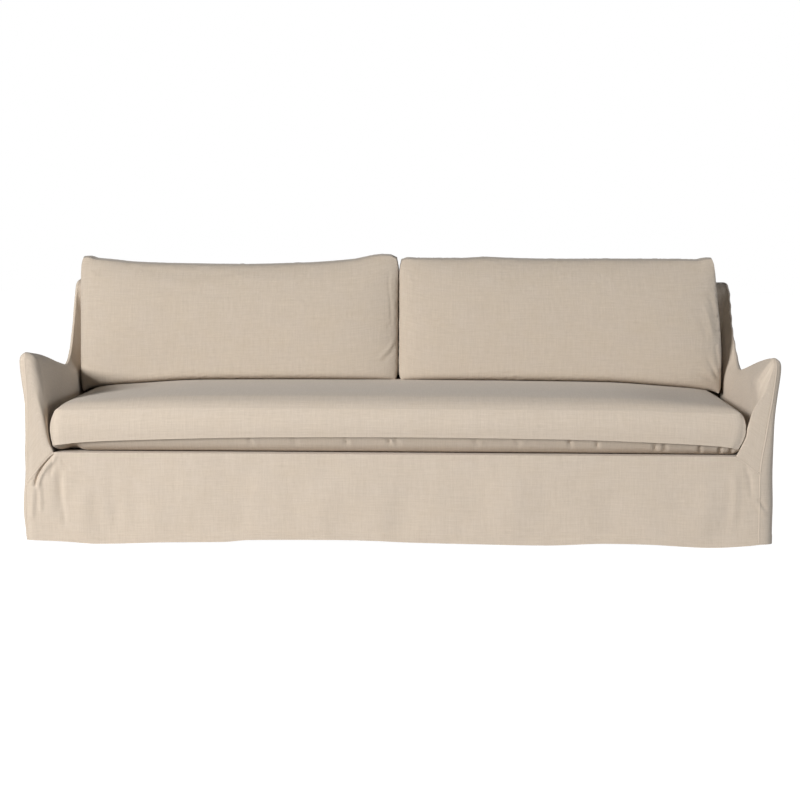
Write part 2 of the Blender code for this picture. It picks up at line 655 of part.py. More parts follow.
# How the seat's crown rises from an end or an edge: distance from it, share of the full crown.
CROWN_RISE_END = ((0.0, 0.0), (0.04, 0.30), (0.09, 0.46), (0.16, 0.58), (0.40, 0.92), (0.75, 1.0))
CROWN_RISE_FRONT = ((0.0, 0.0), (0.02, 0.42), (0.05, 0.72), (0.12, 0.90), (0.30, 1.0))
CROWN_RISE_REAR = ((0.0, 0.0), (0.012, 0.70), (0.03, 1.0))
# How the underside falls to the deck, from an end and from the front or the rear.
BELLY_RISE_END = ((0.0, 0.0), (0.010, 0.78), (0.022, 0.95), (0.05, 1.0))
BELLY_RISE_EDGE = ((0.0, 0.0), (0.015, 0.40), (0.04, 0.85), (0.08, 1.0))
UPPER_LEAN = 0.009         # the boxing leans in by this towards the upper seam,
LOWER_TUCK = 0.010         # and its front corners tuck in by this towards the lower seam
LEAN_REACH = 0.12          # the lean dies out this far from an end or the front
TUCK_REACH = 0.22          # and the tuck this far behind the front
CORNER_PULL = 0.8          # share of a full round that its upright corners get
# How much closer together the cells get towards the ends, across and along each cushion.
SEAT_SPREAD = (0.86, 0.90)
BACK_SPREAD = (0.88, 0.86)


def spread(t, sharpness):
    """Moves evenly spaced places from -1 to 1 closer to both ends."""
    return math.sin(t * math.pi / 2 * sharpness) / math.sin(math.pi / 2 * sharpness)


def seat_ends(y):
    """Where the bench cushion's ends lie at this depth."""
    back = ease((y - SEAT["front"]) / (SEAT["rear"] - SEAT["front"]))
    return SEAT["left"] - SEAT["widen_left"] * back, SEAT["right"] + SEAT["widen_right"] * back


def seat_top(x, y):
    """Height of the bench cushion's top."""
    left, right = seat_ends(y)
    from_end = min(x - left, right - x)
    rise = look_up(CROWN_RISE_END, from_end) * look_up(CROWN_RISE_FRONT, y - SEAT["front"])
    rise *= look_up(CROWN_RISE_REAR, SEAT["rear"] - y)
    return SEAT["high_seam"] + (SEAT["top"] - SEAT["high_seam"]) * rise


def seat_point(a, b, c):
    """The bench cushion: boxed, its crown full in the middle and falling to both ends."""
    y = mix(SEAT["front"], SEAT["rear"], (spread(b, SEAT_SPREAD[1]) + 1) / 2)
    left, right = seat_ends(y)
    x = mix(left, right, (spread(a, SEAT_SPREAD[0]) + 1) / 2)
    from_end = min(x - left, right - x)
    from_edge = min(y - SEAT["front"], SEAT["rear"] - y)
    reach = math.hypot(max(0.0, SEAT_CORNER - from_end), max(0.0, SEAT_CORNER - from_edge))
    if reach > SEAT_CORNER:
        pull = (reach - SEAT_CORNER) * CORNER_PULL
        x += math.copysign(pull * (SEAT_CORNER - from_end) / reach, -a)
        y += math.copysign(pull * (SEAT_CORNER - from_edge) / reach, -b)
    belly = look_up(BELLY_RISE_END, from_end) * look_up(BELLY_RISE_EDGE, from_edge)
    top = seat_top(x, y)
    bottom = SEAT["low_seam"] - (SEAT["low_seam"] - DECK - REST_GAP) * belly
    on_side = abs(a) > 0.999 or abs(b) > 0.999
    z = mix(SEAT["low_seam"], SEAT["high_seam"], (c + 1) / 2) if on_side else (top if c > 0 else bottom)
    if on_side and abs(c) < 0.999:
        swell = SIDE_SWELL * (1 - c * c)
        x += math.copysign(swell, a) if abs(a) > 0.999 else 0.0
        y += math.copysign(swell, b) if abs(b) > 0.999 else 0.0
    return fitted_seat(Vector((x, y, z)))


def fitted_seat(spot):
    """Leans the boxing in towards its upper seam and tucks its front corners in below."""
    left, right = seat_ends(spot.y)
    up = (spot.z - SEAT["low_seam"]) / (SEAT["high_seam"] - SEAT["low_seam"])
    from_end, from_front = min(spot.x - left, right - spot.x), spot.y - SEAT["front"]
    lean = UPPER_LEAN * max(0.0, up) ** 3
    tuck = LOWER_TUCK * clamp01(1.0 - up) ** 1.5 * (1.0 - ease(from_front / TUCK_REACH))
    near_end = 1.0 - ease(from_end / LEAN_REACH)
    spot.x -= math.copysign((lean + tuck) * near_end, spot.x - (left + right) / 2)
    spot.y += lean * (1.0 - ease(from_front / LEAN_REACH))
    return spot


RAKE = math.atan2(RIM[BACK_EDGE_ROW][0] - DECK_REAR, RIM[BACK_EDGE_ROW][1] - DECK)
# Back cushions: their left and right sides by share of the height, and the height of the top by
# place across them.
BACKS = {
    "back_cushion_left": {"left": ((0.0, -1.1000), (0.30, -1.1060), (1.0, -1.1220)),
                          "right": ((0.0, -0.0185), (0.50, -0.0200), (1.0, -0.0195)),
                          "top_line": ((-1.132, 0.878), (-1.05, 0.871), (-0.80, 0.857), (-0.57, 0.854),
                                       (-0.35, 0.860), (-0.18, 0.873), (-0.05, 0.891), (-0.0195, 0.884))},
    "back_cushion_right": {"left": ((0.0, -0.0115), (0.50, -0.0105), (1.0, -0.0110)),
                           "right": ((0.0, 1.0900), (0.35, 1.0930), (1.0, 1.0790)),
                           "top_line": ((-0.0065, 0.876), (0.04, 0.881), (0.29, 0.884), (0.60, 0.882),
                                        (0.95, 0.881), (1.05, 0.889), (1.080, 0.884))},
}
BACK_CUSHION_CELLS = (14, 4, 8)
SIT_GAP = 0.0022           # the back cushions clear the seat by this where its crown falls
BOX_HALF = 0.050           # half the width of their boxing
FRONT_CROWN = 0.075
REAR_CROWN = 0.014
END_SWELL = 0.003          # the boxing of their ends bulges by this
CORNER_DRAW = 0.007        # how far the corners themselves are rounded in,
CORNER_SHARPNESS = 9       # and how close to them
LEAN_GAP = 0.0012          # behind the back cushions
SIT_DEPTH = 0.10           # they follow the seat's crown at this depth,
SIT_GAP_ENDS = (0.25, 0.45)                # and their gap opens between these places off the middle
# Shape of their crown: the higher, the flatter the middle and the rounder the border.
FLAT_ACROSS, FLAT_ABOVE, FLAT_BELOW, CROWN_ROUNDNESS = 3.2, 2.6, 7.0, 0.62
REAR_FULLNESS = 1.6        # the flatter rear face fills out this much sooner


def back_plane_y(z):
    return DECK_REAR + (z - DECK) * math.tan(RAKE)


def back_cushion_point(spec, a, b, c):
    """A back cushion: boxed all round, leaning on the inside back, crowned to the front."""
    u, w = (spread(a, BACK_SPREAD[0]) + 1) / 2, (spread(c, BACK_SPREAD[1]) + 1) / 2
    x = mix(look_up(spec["left"], w), look_up(spec["right"], w), u)
    x -= CORNER_DRAW * (2 * u - 1) ** CORNER_SHARPNESS * abs(2 * w - 1) ** CORNER_SHARPNESS
    gap = mix(REST_GAP, SIT_GAP, ease((abs(x) - SIT_GAP_ENDS[0]) / (SIT_GAP_ENDS[1] - SIT_GAP_ENDS[0])))
    z = mix(seat_top(x, SIT_DEPTH) + gap, look_up(spec["top_line"], x), w)
    middle = back_plane_y(z) - LEAN_GAP - REAR_CROWN - BOX_HALF
    if abs(a) > 0.999 or abs(c) > 0.999:
        bulge = 1 - b * b
        x += math.copysign(END_SWELL * bulge, a) if abs(a) > 0.999 else 0.0
        z += SIDE_SWELL * bulge if c > 0.999 else 0.0
        return Vector((x, middle + b * BOX_HALF, z))
    flatness = FLAT_ABOVE if w > 0.5 else FLAT_BELOW
    rise = ((1 - abs(2 * u - 1) ** FLAT_ACROSS) * (1 - abs(2 * w - 1) ** flatness)) ** CROWN_ROUNDNESS
    if b < 0:
        return Vector((x, middle - BOX_HALF - FRONT_CROWN * rise, z))
    return Vector((x, middle + BOX_HALF + REAR_CROWN * min(1.0, REAR_FULLNESS * rise), z))


def main():
    for old in list(bpy.data.objects):
        bpy.data.objects.remove(old, do_unlink=True)
    cloth = linen("linen", LINEN)
    cushion_cloth = linen("linen_cushion", LINEN_CUSHION)
    shell = sew_shell()
    drape(shell)
    for name in PANELS:
        add_object(name, cut_panel(shell, name), cloth)
    add_object("seat_deck", deck_panel(), cloth)
    shell.free()
    add_object("seat_cushion", cushion_block(SEAT_CELLS, seat_point), cushion_cloth)
    for name, spec in BACKS.items():
        block = cushion_block(BACK_CUSHION_CELLS, lambda a, b, c: back_cushion_point(spec, a, b, c))
        add_object(name, block, cushion_cloth)


main()
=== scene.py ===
"""A fitted linen slipcover for a long sofa: skirt, arms, back, deck, bench cushion and back cushions.

Metres, in the frame of the built model: +X to the right seen from the front, -Y to the front, +Z up.
"""
import json
import math

import bmesh
import bpy
import numpy as np
from mathutils import Matrix, Vector, noise
from mathutils.bvhtree import BVHTree

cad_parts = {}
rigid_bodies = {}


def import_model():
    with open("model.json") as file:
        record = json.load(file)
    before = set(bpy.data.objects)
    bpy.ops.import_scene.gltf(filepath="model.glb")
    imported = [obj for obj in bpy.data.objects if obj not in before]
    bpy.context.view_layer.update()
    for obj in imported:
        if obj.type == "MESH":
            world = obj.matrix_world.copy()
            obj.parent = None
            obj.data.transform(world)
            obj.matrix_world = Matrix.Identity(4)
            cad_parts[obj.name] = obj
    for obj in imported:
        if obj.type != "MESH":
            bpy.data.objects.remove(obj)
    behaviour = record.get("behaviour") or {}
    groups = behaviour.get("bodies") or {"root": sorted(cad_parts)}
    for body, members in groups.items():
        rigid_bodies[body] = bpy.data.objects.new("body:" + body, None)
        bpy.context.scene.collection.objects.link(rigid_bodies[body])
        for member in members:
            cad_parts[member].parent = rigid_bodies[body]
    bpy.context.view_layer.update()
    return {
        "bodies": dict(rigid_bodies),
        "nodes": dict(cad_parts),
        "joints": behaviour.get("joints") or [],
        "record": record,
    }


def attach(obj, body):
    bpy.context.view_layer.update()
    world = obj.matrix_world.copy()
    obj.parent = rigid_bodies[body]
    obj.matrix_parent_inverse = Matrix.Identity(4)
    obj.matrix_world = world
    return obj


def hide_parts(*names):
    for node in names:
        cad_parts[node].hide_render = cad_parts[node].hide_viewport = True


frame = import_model()
scene = bpy.context.scene

# ---- Camera ---------------------------------------------------------------------------------------
# A long lens at head height, a good way in front of the cover, a hand's width right of its middle and
# turned slightly down.
CAMERA_PLACE = Vector((0.045, -6.357, 0.93))
AIM = Vector((-0.0028, -0.487))
LENS, SENSOR = 86.0, 36.0
DOWN, ROLL = math.radians(4.644), math.radians(0.32)
camera = bpy.data.objects.new("camera", bpy.data.cameras.new("camera"))
scene.collection.objects.link(camera)
turn = math.atan2(AIM.x - CAMERA_PLACE.x, AIM.y - CAMERA_PLACE.y)
camera.matrix_world = (Matrix.Translation(CAMERA_PLACE) @ Matrix.Rotation(-turn, 4, "Z")
                       @ Matrix.Rotation(math.radians(90) - DOWN, 4, "X") @ Matrix.Rotation(ROLL, 4, "Z"))
camera.data.lens, camera.data.sensor_width = LENS, SENSOR
scene.camera = camera

# ---- Studio ---------------------------------------------------------------------------------------
# A white floor that runs into a white surround, one large soft light from the front left, weak ones
# from the right and from behind, and the bounce of a white room.
scene.view_settings.view_transform = "Standard"
scene.view_settings.look = "None"


def add_nodes(tree):
    """A short way to add nodes: kind, the values or links of its inputs, then its settings."""
    def add(kind, inputs=(), **settings):
        made = tree.nodes.new(kind)
        for name, value in settings.items():
            setattr(made, name, value)
        for socket, value in dict(inputs).items():
            if isinstance(value, bpy.types.NodeSocket):
                tree.links.new(value, made.inputs[socket])
            else:
                made.inputs[socket].default_value = value
        return made
    return add


world = bpy.data.worlds.new("white_room")
scene.world = world
world.use_nodes = True
world.node_tree.nodes.clear()
add = add_nodes(world.node_tree)
seen = add("ShaderNodeBackground", {"Color": (1, 1, 1, 1), "Strength": 1.0})
room = add("ShaderNodeBackground", {"Color": (0.97, 0.985, 1.0, 1), "Strength": 0.10})
backdrop = add("ShaderNodeMixShader", {0: add("ShaderNodeLightPath").outputs["Is Camera Ray"],
                                       1: room.outputs[0], 2: seen.outputs[0]})
add("ShaderNodeOutputWorld", {"Surface": backdrop.outputs[0]})

floor_mesh = bmesh.new()
bmesh.ops.create_grid(floor_mesh, x_segments=1, y_segments=1, size=30.0)
floor = bpy.data.objects.new("floor", bpy.data.meshes.new("floor"))
floor_mesh.to_mesh(floor.data)
floor_mesh.free()
scene.collection.objects.link(floor)
floor_paint = bpy.data.materials.new("white_floor")
floor_paint.use_nodes = True
floor_paint.node_tree.nodes.clear()
add = add_nodes(floor_paint.node_tree)
dull = add("ShaderNodeBsdfDiffuse", {"Color": (0.55, 0.55, 0.55, 1)})
bright = add("ShaderNodeBsdfDiffuse", {"Color": (0.30, 0.30, 0.30, 1)})
glow = add("ShaderNodeEmission", {"Color": (1, 1, 1, 1), "Strength": 1.0})
lit = add("ShaderNodeAddShader", {0: bright.outputs[0], 1: glow.outputs[0]})
ground = add("ShaderNodeMixShader", {0: add("ShaderNodeLightPath").outputs["Is Camera Ray"],
                                     1: dull.outputs[0], 2: lit.outputs[0]})
add("ShaderNodeOutputMaterial", {"Surface": ground.outputs[0]})
floor.data.materials.append(floor_paint)

# Each light: name, place, what it points at, width, height, watts, colour.
LIGHTS = (("key", (-7.0, -9.9, 3.9), (0.2, 0.0, 0.4), 2.3, 2.4, 1650.0, (1.0, 0.985, 0.965)),
          ("right_fill", (7.0, -1.4, 1.7), (0.0, 0.0, 0.4), 2.4, 2.0, 130.0, (0.90, 0.95, 1.0)),
          ("rear", (-1.5, 5.0, 1.4), (0.0, 0.4, 0.3), 3.0, 2.0, 90.0, (1.0, 0.99, 0.97)))
for name, place, target, width, height, watts, colour in LIGHTS:
    light = bpy.data.lights.new(name, "AREA")
    light.shape, light.size, light.size_y = "RECTANGLE", width, height
    light.energy, light.color = watts, colour
    lamp = bpy.data.objects.new(name, light)
    lamp.location = place
    lamp.rotation_euler = (Vector(target) - Vector(place)).to_track_quat("-Z", "Y").to_euler()
    scene.collection.objects.link(lamp)

# ---- Linen ----------------------------------------------------------------------------------------
# Heavy washed flax in a plain weave, undyed: the threads are uneven, with slubs along both of them.
# The weave follows each piece's own layout, which is in metres of cloth.
THREAD = 0.0012            # from thread to thread
SLUB_LENGTH = 0.030
BAR_LENGTH, BAR_WIDTH = 0.11, 0.0045       # bundles of threads that are paler or darker together
CAST_SIZE = (0.10, 0.07)                   # patches of warmer linen
RELIEF = 0.0006            # how far the threads stand up


def linen(name, light, dark, blush):
    """Linen between its light and its dark threads; blush is the warmer cast that comes and goes."""
    material = bpy.data.materials.new(name)
    material.use_nodes = True
    add = add_nodes(material.node_tree)
    shader = material.node_tree.nodes["Principled BSDF"]
    layout = add("ShaderNodeUVMap", uv_map="weave").outputs["UV"]

    def slubs(u_length, v_length, detail):
        stretched = add("ShaderNodeMapping", {"Vector": layout, "Scale": (1 / u_length, 1 / v_length, 1)})
        return add("ShaderNodeTexNoise", {"Vector": stretched.outputs[0], "Scale": 1.0, "Detail": detail,
                                          "Roughness": 0.65}).outputs["Fac"]

    weft, warp = slubs(SLUB_LENGTH, THREAD * 1.6, 3.0), slubs(THREAD * 1.6, SLUB_LENGTH, 3.0)
    bars, posts = slubs(BAR_LENGTH, BAR_WIDTH, 2.0), slubs(BAR_WIDTH, BAR_LENGTH, 2.0)
    cloud = slubs(*CAST_SIZE, 3.0)

    def blend(first, second, share=0.5):
        return add("ShaderNodeMix", {0: share, 2: first, 3: second}).outputs[0]

    def remap(value, low, high, to_low, to_high):
        return add("ShaderNodeMapRange", {0: value, 1: low, 2: high, 3: to_low, 4: to_high}).outputs[0]

    threads = blend(blend(weft, warp), blend(bars, posts), 0.45)
    shade = add("ShaderNodeMix", {0: remap(threads, 0.38, 0.62, 0.0, 1.0), 6: (*dark, 1), 7: (*light, 1)},
                data_type="RGBA").outputs[2]
    cast = add("ShaderNodeMix", {0: remap(cloud, 0.35, 0.70, 0.0, 0.55), 6: shade, 7: (*blush, 1)},
               data_type="RGBA", blend_type="MULTIPLY").outputs[2]
    material.node_tree.links.new(cast, shader.inputs["Base Color"])

    def crossing(axis):
        part = add("ShaderNodeSeparateXYZ", {0: layout}).outputs[axis]
        turns = add("ShaderNodeMath", {0: part, 1: math.pi / THREAD}, operation="MULTIPLY")
        return add("ShaderNodeMath", {0: turns.outputs[0]}, operation="SINE").outputs[0]

    plain = add("ShaderNodeMath", {0: crossing("X"), 1: crossing("Y")}, operation="MULTIPLY").outputs[0]
    height = blend(remap(plain, -1.0, 1.0, 0.0, 1.0), threads, 0.62)
    bump = add("ShaderNodeBump", {"Strength": 0.5, "Distance": RELIEF, "Height": height})
    material.node_tree.links.new(bump.outputs[0], shader.inputs["Normal"])
    material.node_tree.links.new(remap(threads, 0.3, 0.7, 0.96, 0.84), shader.inputs["Roughness"])
    shader.inputs["Specular IOR Level"].default_value = 0.2
    shader.inputs["Sheen Weight"].default_value = 0.15
    shader.inputs["Sheen Roughness"].default_value = 0.6
    return material


cover_linen = linen("cover_cloth", (0.640, 0.556, 0.470), (0.535, 0.457, 0.375), (1.0, 0.985, 0.95))

# ---- The cover's net ------------------------------------------------------------------------------
# The sewn cover follows the frame under it: flared, swooping arms, a raked back and a straight skirt.
# All its panels are drawn on one net of cloth, so that neighbours meet along their seams. The tables
# hold the built model's sizes, drawn a little finer along the arms' inner edges.
FRONT = -0.487             # plane of the skirt and of the arms' fronts
BACK_TOP = 0.475           # rear edge of the back's top band
BACK_HEM = 0.489           # the outside back hangs out to here at the floor
HEM_FLARE, FLARE_POWER = 0.004, 1.5        # the front skirt stands this much further out at the floor
DECK = 0.284               # height of the deck under the seat cushion
DECK_REAR = 0.270          # where the deck meets the inside back
CORNER_TIP = 0.022         # radius round the arm's front tip
RIGHT, LEFT = 1, -1
# The arm's inner edge is a soft roll, small beside the seat cushion and wide above it: height, how far
# it reaches across the arm, how deep it is, and how far it is a slant and not a round (0 to 1). Behind
# the valley the inner face slants to the rim.
ROLL = {RIGHT: ((0.284, 0.000, 0.012, 0.0), (0.330, 0.014, 0.012, 0.0), (0.385, 0.012, 0.016, 0.0),
                (0.440, 0.022, 0.034, 0.4), (0.489, 0.050, 0.100, 1.0), (0.590, 0.050, 0.150, 1.0)),
        LEFT: ((0.284, 0.000, 0.012, 0.0), (0.330, 0.014, 0.010, 0.0), (0.405, 0.026, 0.017, 0.0),
               (0.436, 0.034, 0.024, 0.0), (0.489, 0.040, 0.034, 0.0), (0.590, 0.040, 0.040, 0.0))}
# The slant's depth behind, the depths over which the roll turns into it, and the height above the deck
# that it needs to come in fully.
ROLL_DEEP_REAR, ROLL_REAR_ENDS, ROLL_FOOT = 0.045, (0.02, 0.22), 0.06
ROLL_SHARE = (0.85, 0.92)  # the roll takes at most this share of the arm's thickness, front and rear
ROLL_WIDEST = 2.0          # the roll reaches at most this many times as far across as it is deep
ROLL_SLANT = (2.2, 1.2)    # how hollow the slants are, in front and behind the valley
# Radius of the upright front corners, by height.
CORNER = {RIGHT: ((0.000, 0.042), (0.228, 0.042), (0.284, 0.036), (0.330, 0.029), (0.385, 0.023),
                  (0.440, CORNER_TIP)),
          LEFT: ((0.000, 0.018), (0.500, CORNER_TIP))}

# Front view of each arm: height, then distances from the middle of the outer face, of the seam
# between outside arm and front (measured along the cloth) and of the arm's inner edge.
ARM_FRONT = {
    RIGHT: ((0.000, 1.1600, 1.1090, 1.035),
            (0.119, 1.1610, 1.1090, 1.035),
            (0.228, 1.1585, 1.1090, 1.035),
            (0.284, 1.1580, 1.1165, 1.035),
            (0.304, 1.1575, 1.1200, 1.044),
            (0.330, 1.1570, 1.1250, 1.053),
            (0.385, 1.1570, 1.1335, 1.066),
            (0.440, 1.1605, 1.1420, 1.069),
            (0.489, 1.1660, 1.1480, 1.073),
            (0.5635, 1.1735, 1.1545, 1.095),
            (0.590, 1.1740, 1.1550, 1.099)),
    LEFT: ((0.000, 1.1610, 1.1590, 1.076),
           (0.107, 1.1720, 1.1690, 1.076),
           (0.228, 1.1665, 1.1610, 1.076),
           (0.284, 1.1685, 1.1600, 1.076),
           (0.304, 1.1670, 1.1590, 1.084),
           (0.330, 1.1655, 1.1570, 1.0900),
           (0.405, 1.1665, 1.1545, 1.0970),
           (0.436, 1.1670, 1.1535, 1.1000),
           (0.489, 1.1745, 1.1550, 1.1070),
           (0.5635, 1.1818, 1.1598, 1.1200),
           (0.590, 1.1824, 1.1604, 1.1215)),
}
SEAM_SPLIT = {RIGHT: 0.228, LEFT: 0.178}   # height where the slanting front seam meets the outer seam

# Behind the front, by height: distance from the middle of the outer and of the inner arm face.
ARM_REAR = {
    RIGHT: ((0.000, 1.160, 1.072), (0.284, 1.158, 1.078), (0.320, 1.158, 1.093), (0.370, 1.158, 1.099),
            (0.470, 1.158, 1.100), (0.560, 1.155, 1.106), (0.640, 1.149, 1.111), (0.800, 1.148, 1.112)),
    LEFT: ((0.000, 1.160, 1.072), (0.284, 1.158, 1.078), (0.320, 1.158, 1.093), (0.370, 1.158, 1.099),
           (0.470, 1.158, 1.108), (0.560, 1.155, 1.116), (0.800, 1.156, 1.116))}
FLARE_ENDS = (-0.30, 0.13)                 # depths over which the outer face's flare dies out
INNER_BLEND = 0.10                         # the inner face loses its front shape this far back,
TIP_BLEND = 0.40                           # but under the arm's tip only over this length
TIP_HEIGHTS = (0.47, 0.54)                 # between these heights the one gives way to the other

# Side view of the rim, from the arm's tip over the crest and the valley up to the back's rear edge:
# depth, height, cells to the next row, radius of the roll, and the foot of its section line.
RIM = ((FRONT + CORNER_TIP, 0.5885, 4, 0.022, -0.360, DECK),
       (-0.250, 0.5665, 4, 0.021, -0.200, DECK),
       (-0.020, 0.5290, 4, 0.018, 0.000, DECK),
       (0.120, 0.5160, 4, 0.015, 0.150, DECK),
       (0.205, 0.5390, 2, 0.011, DECK_REAR, DECK),
       (0.262, 0.5870, 2, 0.007, 0.295, 0.400),
       (0.318, 0.6670, 2, 0.005, 0.325, 0.540),
       (0.358, 0.7460, 2, 0.005, 0.352, 0.665),
       (0.376, 0.7770, 2, 0.007, 0.376, 0.777),
       (0.396, 0.7960, 2, 0.010, 0.396, 0.796),
       (0.428, 0.8030, 2, 0.012, 0.428, 0.803),
       (BACK_TOP, 0.8030, 0, 0.012, BACK_TOP, 0.803))
BACK_EDGE_ROW = 8                          # the row where the inside back's face reaches the rim
TIP_Z = RIM[0][1]

LOW_ROWS = 12              # hem to the slanting seam
FRONT_ROWS = 14            # slanting seam to the arm's tip
ROLL_CELLS = 2             # over the rim
WRAP_CELLS = 3             # round the upright front corner
BAND_CELLS = 3             # section line: across the arm's thickness
FACE_CELLS = 12            # section line: over the inner edge and down the inner face
SECTION_CELLS = BAND_CELLS + FACE_CELLS
SIDE_CELLS = sum(row[2] for row in RIM)
ARM_ROWS = LOW_ROWS + FRONT_ROWS + ROLL_CELLS
BACK_CELLS = 26            # across the inside and outside back
SKIRT_CELLS = 108          # across the skirt between the arms
SKIRT_STATIONS = ((0.0, 0.0), (0.05, 0.035), (0.5, 0.49), (0.96, 0.965), (1.0, 1.0))
NET_LEVELS = 2             # each cell of the net is then halved this many times
# How unevenly the net's lines are spaced: powers of their share, and the drop that is long enough for
# a section line to keep its own spacing.
SIDE_EASING, FOOT_EASING, SKIRT_EASING = 0.9, 1.3, 0.8
SHORT_EASING, FACE_EASING, LONG_DROP = 0.6, 1.6, 0.10
TINY, SPECK = 1e-6, 1e-9
NET_WELD, CASE_WELD = 2e-5, 1e-5           # seams whose edges lie closer than this are one


def ease(t):
    t = max(0.0, min(1.0, t))
    return t * t * (3.0 - 2.0 * t)


def mix(a, b, t):
    return a + (b - a) * t


def look_up(rows, at, column=1):
    """Smooth value of a table's column, with the first column as the place; it never overshoots."""
    if at <= rows[0][0]:
        return rows[0][column]
    if at >= rows[-1][0]:
        return rows[-1][column]
    k = next(index for index in range(len(rows) - 1) if at < rows[index + 1][0])

    def step(index):
        return (rows[index + 1][column] - rows[index][column]) / (rows[index + 1][0] - rows[index][0])

    def slope(index):
        if index in (0, len(rows) - 1):
            return step(min(index, len(rows) - 2))
        before, after = step(index - 1), step(index)
        return 0.0 if before * after <= 0.0 else 2.0 * before * after / (before + after)

    width = rows[k + 1][0] - rows[k][0]
    t = (at - rows[k][0]) / width
    return ((1 + 2 * t) * (1 - t) ** 2 * rows[k][column] + t * (1 - t) ** 2 * width * slope(k)
            + t * t * (3 - 2 * t) * rows[k + 1][column] + t * t * (t - 1) * width * slope(k + 1))


def through(points, index, t):
    """Point on a smooth curve through 2D points, a share t of the way from points[index] on."""
    p1, p2 = points[index], points[index + 1]
    p0 = points[index - 1] if index else 2 * p1 - p2
    p3 = points[index + 2] if index + 2 < len(points) else 2 * p2 - p1
    chord = (p2 - p1).length
    m1 = (p2 - p0) * (chord / max(chord + (p1 - p0).length, SPECK))
    m2 = (p3 - p1) * (chord / max(chord + (p3 - p2).length, SPECK))
    return ((1 + 2 * t) * (1 - t) ** 2 * p1 + t * (1 - t) ** 2 * m1
            + t * t * (3 - 2 * t) * p2 + t * t * (t - 1) * m2)


def outer_x(side, y, z):
    """The outer face of an arm: flared at the front, straight behind."""
    behind = ease((y - FLARE_ENDS[0]) / (FLARE_ENDS[1] - FLARE_ENDS[0]))
    return mix(look_up(ARM_FRONT[side], z, 1), look_up(ARM_REAR[side], z, 1), behind)


def inner_x(side, y, z):
    """The inner face of an arm."""
    at_tip = ease((z - TIP_HEIGHTS[0]) / (TIP_HEIGHTS[1] - TIP_HEIGHTS[0]))
    behind = ease((y - FRONT) / mix(INNER_BLEND, TIP_BLEND, at_tip))
    return mix(look_up(ARM_FRONT[side], z, 3), look_up(ARM_REAR[side], z, 2), behind)


def corner_radius(side, z):
    return look_up(CORNER[side], z)


def front_y(z):
    return FRONT - HEM_FLARE * (1.0 - min(1.0, z / DECK)) ** FLARE_POWER


def front_point(side, along, z):
    """Point on the front, `along` the cloth from the middle, round the upright corner as needed."""
    radius = corner_radius(side, z)
    flat = outer_x(side, FRONT, z) - radius
    turn = max(0.0, (along - flat) / radius)
    x = min(along, flat) + radius * math.sin(turn)
    return Vector((side * x, front_y(z) + radius * (1.0 - math.cos(turn)), z))


def cloth_along(point):
    """Signed distance along the cloth from the middle of the front to a point of it."""
    side = RIGHT if point.x >= 0 else LEFT
    radius = corner_radius(side, point.z)
    flat = outer_x(side, FRONT, point.z) - radius
    over = abs(point.x) - flat
    return side * (flat + radius * math.asin(min(1.0, over / radius)) if over > 0 else abs(point.x))


def rim_stations():
    """The rim's stations behind the tip: place, outward normal, roll radius and section foot."""
    places = [Vector((row[0], row[1])) for row in RIM]
    feet = [Vector((row[4], row[5])) for row in RIM]
    made = []
    for k, row in enumerate(RIM[:-1]):
        for cell in range(row[2]):
            t = cell / row[2]
            made.append([through(places, k, t), mix(row[3], RIM[k + 1][3], t), feet[k].lerp(feet[k + 1], t)])
    made.append([places[-1], RIM[-1][3], feet[-1]])
    for k, station in enumerate(made):
        run = (made[min(k + 1, len(made) - 1)][0] - made[max(k - 1, 0)][0]).normalized()
        station.insert(1, Vector((-run.y, run.x)) if 0 < k < len(made) - 1 else Vector((0.0, 1.0)))
    return made


stations = rim_stations()


def front_heights(side):
    """Heights of the arm rows at the front, from the hem to where the tip's rounding begins."""
    split = SEAM_SPLIT[side]
    low = [split * k / LOW_ROWS for k in range(LOW_ROWS + 1)]
    return low + [mix(split, TIP_Z - CORNER_TIP, k / FRONT_ROWS) for k in range(1, FRONT_ROWS + 1)]


def outside_arm_point(side, column, row):
    """Outside arm: columns from the front seam to the rear corner, rows from the hem to the rim seam."""
    heights = front_heights(side)
    roll_row = max(0, row - len(heights) + 1)
    if column < WRAP_CELLS:
        across = 1.0 - column / WRAP_CELLS
        if roll_row == 0:
            z = heights[row]
            radius = corner_radius(side, z)
            side_along = outer_x(side, FRONT, z) - radius + radius * math.pi / 2
            return front_point(side, mix(side_along, look_up(ARM_FRONT[side], z, 2), across), z)
        # The tip's corner cell is a square folded to a quarter disc.
        up = roll_row / ROLL_CELLS
        a, b = across * math.sqrt(1.0 - up * up / 2.0), up * math.sqrt(1.0 - across * across / 2.0)
        share = math.hypot(a, b)
        out = CORNER_TIP * math.sin(share * math.pi / 2) / share
        x = outer_x(side, FRONT, z := TIP_Z - CORNER_TIP + out * b)
        x -= CORNER_TIP * (1.0 - math.cos(share * math.pi / 2))
        return Vector((side * x, FRONT + CORNER_TIP - out * a, z))
    place, normal, roll, _ = stations[column - WRAP_CELLS]
    head = place - normal * roll
    if roll_row == 0:
        share = heights[row] / heights[-1]
        if column == WRAP_CELLS:
            z = heights[row]
            y = front_y(z) + corner_radius(side, z)
        else:
            z = head.y * share
            foot_y = mix(FRONT + corner_radius(side, 0.0), BACK_HEM, (column - WRAP_CELLS) / SIDE_CELLS)
            y = mix(foot_y, head.x, share ** SIDE_EASING)
        return Vector((side * outer_x(side, y, z), y, z))
    angle = roll_row / ROLL_CELLS * math.pi / 2
    spot = head + normal * roll * math.sin(angle)
    return Vector((side * (outer_x(side, head.x, head.y) - roll * (1.0 - math.cos(angle))), spot.x, spot.y))


